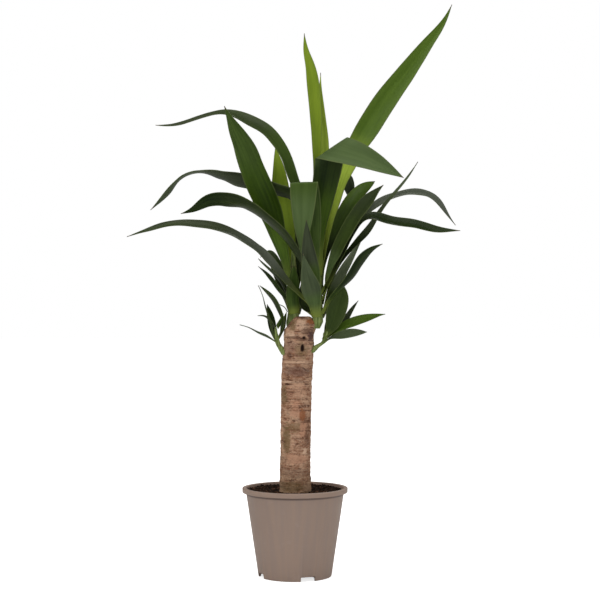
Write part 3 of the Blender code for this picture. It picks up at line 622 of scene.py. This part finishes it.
def floor_material():
    """Near white, and glowing for the camera alone."""
    g = Graph("floor", specular=0.0)
    g.shade("Emission Color", (1.0, 1.0, 1.0))
    g.shade("Emission Strength", g.times(g.add("LightPath")["Is Camera Ray"], FLOOR_GLOW))
    return g.finish(g.mix(g.noise(g.place(), 6.0), (0.80, 0.80, 0.80), (0.83, 0.83, 0.83)), 0.8)


def add_object(name, data):
    item = bpy.data.objects.new(name, data)
    bpy.context.scene.collection.objects.link(item)
    return item


def add_piece(mesh, node, slot, *materials):
    """Puts a mesh in the scene as the fine stand-in for a node of the model."""
    piece = add_object(mesh.name, mesh)
    for material in materials:
        mesh.materials.append(material)
    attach(piece, "root")
    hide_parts(node)


def mesh_of(bm, name):
    mesh = bpy.data.meshes.new(name)
    bm.to_mesh(mesh)
    bm.free()
    return mesh


def mesh_from(name, points, faces, smooth=40):
    """A mesh from points in mm, with faces turned outward and shaded smooth up to an angle."""
    mesh = bpy.data.meshes.new(name)
    mesh.from_pydata((np.array(points) * MM).tolist(), [], faces)
    bm = bmesh.new()
    bm.from_mesh(mesh)
    bmesh.ops.recalc_face_normals(bm, faces=bm.faces)
    bm.to_mesh(mesh)
    bm.free()
    mesh.shade_smooth()
    mesh.set_sharp_from_angle(angle=math.radians(smooth))
    return mesh


def joined(parts):
    """The points and faces of several parts together, and for each face the number of its part."""
    faces, owners, start = [], [], 0
    for number, (points, part_faces) in enumerate(parts):
        faces += [tuple(i + start for i in face) for face in part_faces]
        owners += [number] * len(part_faces)
        start += len(points)
    return np.concatenate([points for points, _ in parts]), faces, owners


def turns(sides):
    """Even steps round a circle, in radians."""
    return [math.tau * i / sides for i in range(sides)]


def ring_faces(rings, sides, capped=True):
    """Quads between rows of points that each go round once, and a face at each end."""
    faces = []
    for k in range(rings - 1):
        for i in range(sides):
            j = (i + 1) % sides
            low, high = k * sides, (k + 1) * sides
            faces.append((low + i, low + j, high + j, high + i))
    if capped:
        faces += [tuple(range(sides)), tuple(range((rings - 1) * sides, rings * sides))]
    return faces


def write_attribute(mesh, name, values):
    attribute = mesh.attributes.new(name, "FLOAT_VECTOR", "POINT")
    attribute.data.foreach_set("vector", np.asarray(values, float).ravel())


def distances(points):
    """How far along a line of points each of them lies."""
    return np.concatenate([[0], np.cumsum(np.linalg.norm(np.diff(points, axis=0), axis=1))])


def natural_spline(points, at):
    """A natural cubic spline through points, read at shares of its length: places and directions."""
    points = np.array(points)
    knots = distances(points)
    gaps = np.diff(knots)
    last = len(points) - 1
    system = np.eye(last + 1)
    right = np.zeros_like(points)
    for i in range(1, last):
        system[i, i - 1:i + 2] = gaps[i - 1], 2 * (gaps[i - 1] + gaps[i]), gaps[i]
        right[i] = 6 * ((points[i + 1] - points[i]) / gaps[i] - (points[i] - points[i - 1]) / gaps[i - 1])
    bend = np.linalg.solve(system, right)
    along = at * knots[-1]
    k = np.clip(np.searchsorted(knots, along, side="right") - 1, 0, last - 1)
    h = gaps[k][:, None]
    a, b = (knots[k + 1] - along)[:, None], (along - knots[k])[:, None]
    place = (bend[k] * a**3 + bend[k + 1] * b**3) / (6 * h)
    place += (points[k] / h - bend[k] * h / 6) * a + (points[k + 1] / h - bend[k + 1] * h / 6) * b
    slope = (bend[k + 1] * b**2 - bend[k] * a**2) / (2 * h)
    slope += (points[k + 1] - points[k]) / h - (bend[k + 1] - bend[k]) * h / 6
    return place, unit(slope)


def ease(share):
    """Goes from 0 to 1 with a gentle start and stop, and stays at 0 or 1 outside."""
    share = np.clip(share, 0, 1)
    return share * share * (3 - 2 * share)


def waver(x, y, z, size=1.0):
    """Smooth noise from about -1 to 1 at a place, with waves of a size."""
    return noise.noise(Vector((x, y, z)) / size)


def round_waver(turn, radius, z):
    """The same at a place on a round surface, so that it closes on itself."""
    return waver(radius * math.cos(turn), radius * math.sin(turn), z)


def width_share(s, outline):
    """Width of a blade along its length, as a share of the full width."""
    root, widest_at, roundness = outline
    rise = root + (1 - root) * ease(s / widest_at)
    fall = 1 - np.clip((s - widest_at) / (1 - widest_at), 0, 1) ** roundness
    return rise * fall


def twist_at(s, twists):
    """Eases from each twist to the next, at even steps along the blade."""
    steps = np.asarray(twists, float)
    place = np.clip(s * (len(steps) - 1), 0, len(steps) - 1)
    k = np.minimum(place.astype(int), len(steps) - 2)
    t = ease(place - k)
    return np.radians(steps[k] * (1 - t) + steps[k + 1] * t)


def unit(vectors):
    return vectors / np.maximum(np.linalg.norm(vectors, axis=-1, keepdims=True), 1e-9)


def leaf_spine(axis, azimuth, path):
    """The points that a leaf's middle line passes, its length, and the way to its left."""
    turn = math.radians(azimuth)
    out = np.array([math.cos(turn), math.sin(turn), 0])
    side = np.array([-math.sin(turn), math.cos(turn), 0])
    spine = [(*axis, height) + out * reach + side * sum(shift) for reach, height, *shift in path]
    return spine, distances(spine)[-1], side


def blade_frame(spine, side, twists, s):
    """Middle line, direction, and the blade's way across and way up, at shares s of the length."""
    place, along = natural_spline(spine, s)
    across = unit(side - along * (along @ side)[:, None])
    face = np.cross(along, across)
    twist = twist_at(s, twists)[:, None]
    return (place, along, across * np.cos(twist) + face * np.sin(twist),
            face * np.cos(twist) - across * np.sin(twist))


def blade_points(spine, length, side, width, twists, outline, fold, s, v):
    """Places on a leaf's middle surface, for shares s of the length and v from edge to edge."""
    flat = np.ones_like(s)
    if fold:
        fold_at, slant, _ = fold
        near = np.exp(-(((s - fold_at) / FOLD_SPAN) ** 2))
        shift = math.tan(math.radians(slant)) * width / 2 / length
        s = np.clip(s + v * near * shift, 0, 1)
        flat = 1 - near
    place, along, across, face = blade_frame(spine, side, twists, s)
    half = np.maximum(width * width_share(s, outline), TIP_WIDTH) / 2
    points = place + across * (half * v)[:, None] + face * (CHANNEL * half * v * v * flat)[:, None]
    return folded(points, spine, side, twists, fold) if fold else points


def folded(points, spine, side, twists, fold):
    """Bends the blade's far part back over a slanting crease, round a small radius."""
    fold_at, slant, angle = fold
    place, along, across, face = (row[0] for row in blade_frame(spine, side, twists, np.array([fold_at])))
    slant = math.radians(slant)
    crease = across * math.cos(slant) + along * math.sin(slant)
    ahead = along * math.cos(slant) - across * math.sin(slant)
    offset = points - place
    past = np.maximum(offset @ ahead, 0)
    turned = np.minimum(past / FOLD_RADIUS, math.radians(angle))
    rest = past - FOLD_RADIUS * turned
    lift = offset @ face
    forward = np.minimum(offset @ ahead, 0) + rest * np.cos(turned) + (FOLD_RADIUS + lift) * np.sin(turned)
    rise = (FOLD_RADIUS + lift) * np.cos(turned) - FOLD_RADIUS - rest * np.sin(turned)
    return place + np.outer(offset @ crease, crease) + np.outer(forward, ahead) + np.outer(rise, face)


def clasp(points, s, v, axis, length, widths):
    """Bends the blade's foot round its stem, and widens it there."""
    share = ease(1 - s * length / CLASP_LENGTH)
    centre = points[:, len(v) // 2, :2] - axis
    reach = np.linalg.norm(centre, axis=1)[:, None]
    heading = np.arctan2(centre[:, 1], centre[:, 0])[:, None]
    half = widths / 2 * (1 + CLASP_WIDER * share)
    turn = heading + np.clip(half[:, None] / reach * v, -CLASP_TURN, CLASP_TURN)
    x, y = axis[0] + reach * np.cos(turn), axis[1] + reach * np.sin(turn)
    wrapped = np.stack([x, y, points[:, :, 2]], axis=-1)
    return points + (wrapped - points) * share[:, None, None]


def blade_rows(length, fold):
    """Shares of the length at which a fine blade has a row of points, closer round a fold and at the tip."""
    count = max(round(length / FINE_ROW_STEP), 24)
    rows = [i / count for i in range(count)] + [1 - 0.4 / count, 1.0]
    if fold:
        rows = [r for r in rows if abs(r - fold[0]) > 0.05]
        rows += [fold[0] - 0.05 + 0.1 * i / FINE_FOLD_ROWS for i in range(FINE_FOLD_ROWS + 1)]
    return np.array(sorted(rows))


def blade_mesh_data(number, axis, azimuth, width, twists, path, outline, fold):
    """Points, faces and attributes of one fine blade: thick at the midrib, thin at the edges."""
    outline = outline or COMMON_OUTLINE
    spine, length, side = leaf_spine(axis, azimuth, path)
    s = blade_rows(length, fold)
    v = np.linspace(-1, 1, FINE_LANES)
    grid_s, grid_v = np.meshgrid(s, v, indexing="ij")
    flat = blade_points(spine, length, side, width, twists, outline, fold, grid_s.ravel(), grid_v.ravel())
    middle = clasp(flat.reshape(len(s), len(v), 3), s, v, axis, length, width * width_share(s, outline))
    normal = unit(np.cross(np.gradient(middle, axis=0), np.gradient(middle, axis=1)))
    middle = middle - normal * ripple(number, s, v, length, width)[:, :, None]
    thick = THICK_EDGE + (THICK_MIDDLE - THICK_EDGE) * (1 - grid_v**2) * (1 - 0.5 * grid_s)
    half = normal * (thick / 2)[:, :, None]
    points = np.concatenate([middle - half, (middle + half)[:, ::-1]], axis=1).reshape(-1, 3)
    spot = np.stack([grid_v, grid_s, np.zeros_like(grid_s)], axis=-1)
    spot = np.concatenate([spot, spot[:, ::-1] + (0, 0, 1)], axis=1).reshape(-1, 3)
    blade = spot * (width / 2, length, 0) + (0, 0, number)
    return (points, ring_faces(len(s), 2 * len(v))), blade, spot


def ripple(number, s, v, length, width):
    """Small waves of the edges and slow dents, in mm."""
    waves = np.zeros((len(s), len(v)))
    for k, share in enumerate(s):
        along = share * length
        calm = ease(share / 0.2) * ease((1 - share) / 0.08)
        left, right = (waver(along / EDGE_WAVE_LENGTH, number * 7.3, edge) for edge in (0, 40))
        for i, place in enumerate(v):
            wave = (right if place > 0 else left) * abs(place) ** 2.5 * EDGE_WAVE
            waves[k, i] = (wave + DENT * waver(along / 40, place * width / 30, number * 3.1)) * calm
    return waves


def fine_blades(name, blades):
    """One mesh of several blades, given as number, axis, azimuth, width, twists, path, outline and fold.

    Each blade takes its own place in the piece's list of materials.
    """
    parts, blade, spot = zip(*(blade_mesh_data(*item) for item in blades))
    points, faces, owners = joined(parts)
    mesh = mesh_from(name, points, faces, 70)
    mesh.polygons.foreach_set("material_index", owners)
    write_attribute(mesh, "blade", np.concatenate(blade))
    write_attribute(mesh, "spot", np.concatenate(spot))
    return mesh


def make_leaves():
    """Each leaf as a piece of its own. Its number picks its place in the noise."""
    number = 0
    for shoot, leaves in (("right", RIGHT_LEAVES), ("left", LEFT_LEAVES)):
        axis = STEMS[shoot][2][:2]
        _, _, heights, radii = np.transpose(STEMS[shoot])
        for name, (azimuth, root, width, twists, path, *outline) in leaves.items():
            reach = np.interp(root, heights, radii) + ROOT_CLEAR + LEAF_THICKNESS / 2
            path = ((reach, root), *path)
            blade = (number, axis, azimuth, width, twists, path, outline, FOLDS.get(name))
            node = "leaf_" + name
            mesh = fine_blades(node + "_fine", [blade])
            slot = "leaf_bright" if name in BRIGHT_LEAVES else "leaf_dark"
            add_piece(mesh, node, slot, leaf_material(LEAF_LOOKS.get(name, "dark")))
            number += 1


def stem_mesh(name, sections):
    """A round stem through sections of (x, y, height, radius), with faint rings."""
    rows = np.array(sections, float)
    knots = distances(rows[:, :3])
    count = max(round(knots[-1] / STEM_FINE_STEP), 4)
    points = []
    for at in np.linspace(0, knots[-1], count + 1):
        x, y, z, radius = (np.interp(at, knots, column) for column in rows.T)
        swell = 0.35 * waver(0, 3, z / 4)
        for turn in turns(STEM_FINE_SIDES):
            wall = radius + swell + 0.2 * round_waver(turn, 2, z / 9)
            points.append((x + wall * math.cos(turn), y + wall * math.sin(turn), z))
    return mesh_from(name, points, ring_faces(count + 1, STEM_FINE_SIDES))


def make_stems(material):
    for side, sections in STEMS.items():
        name = "stem_" + side
        add_piece(stem_mesh(name + "_fine", sections), name, "stem", material)


def make_side_shoots(stem):
    """The small shoots: their leaves in one piece, and the short stem that carries them."""
    for number, (name, (sections, leaves)) in enumerate(SIDE_SHOOTS.items()):
        axis = sections[2][:2]
        blades = []
        for k, (azimuth, root, width, twists, path, *outline) in enumerate(leaves, 50 + 10 * number):
            blades.append((k, axis, azimuth, width, twists, ((0.01, root), *path), outline, None))
        materials = [leaf_material(tint) for tint in SHOOT_LOOKS[name].split()]
        add_piece(fine_blades(name + "_leaves", blades), name, "leaf_dark", *materials)
        add_piece(stem_mesh(name + "_stem", sections), name, "stem", stem)


def section_at(height):
    """Middle, half width and half depth of the cane at a height."""
    heights, *sizes = np.transpose(CANE_SECTIONS)
    return [np.interp(height, heights, size) for size in sizes]


def coarse_bark(turn, height):
    """The model's own relief: rings of old leaf scars and slower swellings."""
    ring = waver(0, 7, height / (CANE_BARK_SIZE / 3))
    return CANE_BARK * (round_waver(turn, 1, height / CANE_BARK_SIZE) + 0.6 * ring)


def scar_share(turn, height):
    """0 in the groove under an old leaf's scar, rising to 1 at the ridge below the next one."""
    sway = round_waver(turn, 1.6, height / 60)
    drift = waver(0.3, 9.1, height / 21)
    return (height / SCAR_STEP + 0.9 * sway + 0.8 * drift) % 1.0


def crack_share(turn, height):
    """1 in the thin cracks along the bark, 0 elsewhere."""
    near = abs(round_waver(turn, 20 / 3.4, height / 11))
    broken = round_waver(turn, 3, height / 14 + 30)
    return max(0.0, 1 - near / 0.07) * (1.0 if broken > -0.1 else 0.3)


def knot_share(x, height):
    """Depth share of the old buds on the front."""
    share = 0.0
    for knot_x, knot_z, half_x, half_z, depth in KNOTS:
        away = math.hypot((x - knot_x) / half_x, (height - knot_z) / half_z)
        share = max(share, ease(1.35 - away) * depth / 3)
    return share


def fine_bark(turn, height, x):
    """Relief in mm at a place on the cane, and how much of it is scar, crack and knot."""
    scar = scar_share(turn, height)
    crack = crack_share(turn, height)
    knot = knot_share(x, height) if math.sin(turn) < 0 else 0.0
    relief = coarse_bark(turn, height) + SCAR_DEPTH * (scar**3 - 0.35) - CRACK_DEPTH * crack - 3 * knot
    relief += GRAIN_DEPTH * round_waver(turn, 9, height / 2.4)
    relief += ROUGH_DEPTH * round_waver(turn, 4, height / 5.5)
    relief += TORN_DEPTH * ease((height - TORN_FROM) / TORN_OVER) * round_waver(turn, 5, height / 4)
    return relief, (scar, crack, knot)


def make_cane():
    """The cut trunk: stacked ovals with bark relief, and its slanting dried top."""
    top = CANE_SECTIONS[-1][0]
    count = round((top - CANE_SHOWN_FROM) / CANE_FINE_STEP)
    points, bark = [], []
    for height in np.linspace(CANE_SHOWN_FROM, top, count + 1):
        middle, width, depth = section_at(height)
        for turn in turns(CANE_FINE_SIDES):
            relief, parts = fine_bark(turn, height, middle + width * math.cos(turn))
            x = middle + (width + relief) * math.cos(turn)
            points.append((x, (depth + relief) * math.sin(turn), height))
            bark.append(parts)
    points += cap_rings(points[-CANE_FINE_SIDES:])
    bark += [(0.5, 0.0, 0.0)] * (len(points) - len(bark))
    faces = ring_faces(count + 1 + len(CAP_SHARES), CANE_FINE_SIDES)
    mesh = mesh_from("cane_fine", points, faces, 80)
    write_attribute(mesh, "bark", bark)
    add_piece(mesh, "cane", "cane", bark_material())


def cap_rings(rim):
    """Rings that close the cane's cut top, rough and slightly sunk."""
    middle = np.mean(rim, axis=0)
    rings = []
    for share in CAP_SHARES:
        for x, y, z in middle + (rim - middle) * share:
            rings.append((x, y, z - CAP_SINK * (1 - share**2) + 1.1 * waver(x, y, z, 3.0)))
    return rings


def soil_height(x, y):
    """Height of the soil at a place, in mm: a low hollow round the cane, and crumbs."""
    heap = SOIL_HEAP * math.exp(-((math.hypot(x, y) / SOIL_HEAP_REACH) ** 4))
    relief = waver(x, y, 3.0, SOIL_CRUMB_SIZE) + waver(x, y, 9.0, 4 * SOIL_CRUMB_SIZE)
    return SOIL_EDGE_HEIGHT + heap + SOIL_CRUMB * relief


def pot_radius(height):
    return FOOT_RADIUS + POT_TAPER * height


def make_soil():
    """The soil's top with fine lumps, and loose crumbs and bark chips on it."""
    edge = pot_radius(SOIL_EDGE_HEIGHT) - POT_WALL - SOIL_CLEAR
    inner = CANE_SECTIONS[1][2] - 3
    low = SOIL_EDGE_HEIGHT - SOIL_SKIRT
    rings = [(pot_radius(low) - POT_WALL - SOIL_CLEAR, low)]
    rings += [(radius, None) for radius in np.linspace(edge, inner, SOIL_FINE_RINGS + 1)]
    rings += [(inner, low)]
    points = []
    for radius, height in rings:
        for turn in turns(SOIL_FINE_SIDES):
            x, y = radius * math.cos(turn), radius * math.sin(turn)
            fine = SOIL_FINE_RELIEF * waver(x, y, 1.0, SOIL_FINE_SIZE)
            points.append((x, y, soil_height(x, y) + fine if height is None else height))
    faces = ring_faces(len(rings) + 1, SOIL_FINE_SIDES, capped=False)
    faces = [tuple(i % len(points) for i in face) for face in faces]
    mesh = mesh_from("soil_fine", points, faces, 80)
    add_piece(mesh, "soil", "soil", soil_material("soil", SOIL_DARK, SOIL_BROWN, 260.0))
    mesh = crumb_mesh("soil_crumbs", edge, CRUMBS, CRUMB_SIZES, CRUMB_SEED, 1.0)
    add_piece(mesh, "soil", "soil", soil_material("soil crumbs", SOIL_DARK, SOIL_LIGHT, 500.0))
    mesh = crumb_mesh("soil_chips", edge, CHIPS, CHIP_SIZES, CHIP_SEED, CHIP_FLATNESS)
    add_piece(mesh, "soil", "soil", soil_material("bark chips", CHIP_DARK, CHIP_LIGHT, 400.0))


def crumb_mesh(name, edge, count, sizes, seed, flatness):
    """Loose crumbs on the soil between the cane and the wall, in one mesh."""
    bm = bmesh.new()
    bmesh.ops.create_icosphere(bm, subdivisions=2, radius=1)
    ball = np.array([v.co[:] for v in bm.verts])
    faces = [[v.index for v in face.verts] for face in bm.faces]
    bm.free()
    draw = random.Random(seed)
    crumbs = []
    for number in range(count):
        size = sizes[0] + (sizes[1] - sizes[0]) * draw.random() ** 3
        low, high = CANE_SECTIONS[1][2] + size, edge - size
        reach = math.sqrt(low**2 + (high**2 - low**2) * draw.random())
        turn = draw.uniform(0, math.tau)
        x, y = reach * math.cos(turn), reach * math.sin(turn)
        stretch = (size, size * draw.uniform(0.55, 0.9), size * draw.uniform(0.5, 0.8) * flatness)
        bumps = [[0.8 + 0.45 * waver(*(p * 1.3 + (number * 3.7, 0, 0)))] for p in ball]
        tilt = Matrix.Rotation(draw.uniform(0, math.tau), 3, "Z")
        for axis in "XY":
            tilt = tilt @ Matrix.Rotation(draw.uniform(-0.6, 0.6), 3, axis)
        shape = (ball * bumps * stretch) @ np.array(tilt).T
        crumbs.append((shape + (x, y, soil_height(x, y) + size * 0.25 * flatness), faces))
    points, faces, _ = joined(crumbs)
    return mesh_from(name, points, faces, 50)


def rounded(centre_r, centre_z, radius, start, stop, count):
    """Points on an arc of the pot's profile, as (radius, height)."""
    angles = np.radians(np.linspace(start, stop, count))
    return [(centre_r + radius * math.cos(a), centre_z + radius * math.sin(a)) for a in angles]


def pot_profile():
    """Half section of the pot, from the floor's top outward, over the rim, and down outside."""
    skirt_foot = RIM_TOP - RIM_SKIRT
    groove_top = RIM_TOP - RIM_WALL
    groove_radius = RIM_RADIUS - RIM_WALL
    inner_top = pot_radius(RIM_TOP) - POT_WALL
    foot_inside = FOOT_RADIUS - FOOT_RING
    return [
        (0, FLOOR_TOP),
        (pot_radius(FLOOR_TOP) - POT_WALL - 2, FLOOR_TOP),
        (pot_radius(FLOOR_TOP + 2) - POT_WALL, FLOOR_TOP + 2),
        (inner_top - 0.2, RIM_TOP - 1.2),
        (inner_top + 0.1, RIM_TOP - 0.35),
        (inner_top + 0.6, RIM_TOP),
        *rounded(RIM_RADIUS - RIM_ROUND, RIM_TOP - RIM_ROUND, RIM_ROUND, 90, 0, 7),
        (RIM_RADIUS - 0.2, skirt_foot + 0.5),
        (RIM_RADIUS - 0.35, skirt_foot + 0.15),
        (RIM_RADIUS - RIM_WALL / 2, skirt_foot),
        (groove_radius, skirt_foot + 0.5),
        (groove_radius - 0.1, groove_top),
        (pot_radius(groove_top) + 0.4, groove_top),
        (pot_radius(groove_top - 1), groove_top - 1),
        (pot_radius(60), 60),
        (pot_radius(4), 4),
        *rounded(FOOT_RADIUS - 1, 1, 1, -10, -80, 4),
        (foot_inside + 0.4, 0),
        (foot_inside, FLOOR_UNDERSIDE),
        (0, FLOOR_UNDERSIDE),
    ]


def notch_cutter():
    """Boxes with round upper edges for the drain notches round the foot, in one mesh."""
    bm = bmesh.new()
    reach = FOOT_RADIUS + 10 - NOTCH_START
    for i in range(NOTCHES):
        box = bmesh.ops.create_cube(bm, size=1)["verts"]
        bmesh.ops.scale(bm, vec=Vector((reach, NOTCH_WIDTH, NOTCH_HEIGHT * 2)) * MM, verts=box)
        bmesh.ops.translate(bm, vec=Vector((NOTCH_START + reach / 2, 0, 0)) * MM, verts=box)
        turn = math.radians(NOTCH_AZIMUTH + 360 / NOTCHES * i)
        bmesh.ops.rotate(bm, cent=(0, 0, 0), matrix=Matrix.Rotation(turn, 3, "Z"), verts=box)
    upright = [e for e in bm.edges
               if min(v.co.z for v in e.verts) > 0 and abs(e.verts[0].co.z - e.verts[1].co.z) < MM]
    radial = [e for e in upright if abs(e.calc_length() - reach * MM) < 0.1 * MM]
    bmesh.ops.bevel(bm, geom=radial, offset=NOTCH_ROUND * MM, segments=4, profile=0.5, affect="EDGES")
    bmesh.ops.recalc_face_normals(bm, faces=bm.faces)
    return add_object("notch_shape", mesh_of(bm, "notch_shape"))


def make_pot():
    """The pot's profile turned round its axis, with the notches cut out and its edges softened."""
    bm = bmesh.new()
    rows = [bm.verts.new((r * MM, 0, z * MM)) for r, z in pot_profile()]
    for low, high in zip(rows, rows[1:]):
        bm.edges.new((low, high))
    pot = add_object("pot_turned", mesh_of(bm, "pot_turned"))
    cutter = notch_cutter()
    set_all(pot.modifiers.new("turn", "SCREW"), axis="Z", steps=POT_SIDES, render_steps=POT_SIDES,
            use_merge_vertices=True, merge_threshold=0.00001)
    set_all(pot.modifiers.new("notches", "BOOLEAN"), operation="DIFFERENCE", object=cutter, solver="EXACT")
    set_all(pot.modifiers.new("soft edges", "BEVEL"), width=EDGE_ROUND * MM, segments=2,
            angle_limit=math.radians(50))
    turned = bpy.data.meshes.new_from_object(pot.evaluated_get(bpy.context.evaluated_depsgraph_get()))
    turned.name = "pot_fine"
    turned.shade_smooth()
    turned.set_sharp_from_angle(angle=math.radians(35))
    for item in (pot, cutter):
        bpy.data.objects.remove(item, do_unlink=True)
    add_piece(turned, "pot", "pot", pot_material())


def make_camera():
    data = set_all(bpy.data.cameras.new("camera"), lens=CAMERA_LENS, sensor_width=SENSOR_WIDTH)
    level = (math.radians(90), 0, 0)
    bpy.context.scene.camera = set_all(
        add_object("camera", data), location=CAMERA_PLACE, rotation_euler=level)


def make_lights():
    for name, (place, size, power, colour) in LIGHTS.items():
        data = bpy.data.lights.new(name, "AREA")
        light = add_object(name, set_all(data, shape="DISK", size=size, energy=power, color=colour))
        light.location = place
        light.rotation_euler = (Vector(LIGHT_TARGET) - Vector(place)).to_track_quat("-Z", "Y").to_euler()


def make_sky():
    """A white backdrop for the camera, and a dimmer even light for everything else."""
    world = bpy.data.worlds.new("studio")
    world.use_nodes = True
    tree = world.node_tree
    rays = add_node(tree, "LightPath")
    light = add_node(tree, "Mix", rays["Is Glossy Ray"], None, SKY_LIGHT, SKY_MIRRORED)[0]
    seen = add_node(tree, "Mix", rays["Is Camera Ray"], None, light, BACKDROP)[0]
    background = tree.nodes["Background"]
    feed(tree, background.inputs["Color"], (1.0, 1.0, 1.0))
    feed(tree, background.inputs["Strength"], seen)
    bpy.context.scene.world = world


def make_floor():
    bm = bmesh.new()
    bmesh.ops.create_grid(bm, x_segments=8, y_segments=8, size=FLOOR_HALF)
    floor = add_object("floor", mesh_of(bm, "floor"))
    floor.data.materials.append(floor_material())


def main():
    bpy.context.scene.view_settings.view_transform = "Standard"
    make_camera()
    make_lights()
    make_sky()
    make_floor()
    make_pot()
    make_soil()
    make_cane()
    stem = stem_material()
    make_leaves()
    make_stems(stem)
    make_side_shoots(stem)


main()
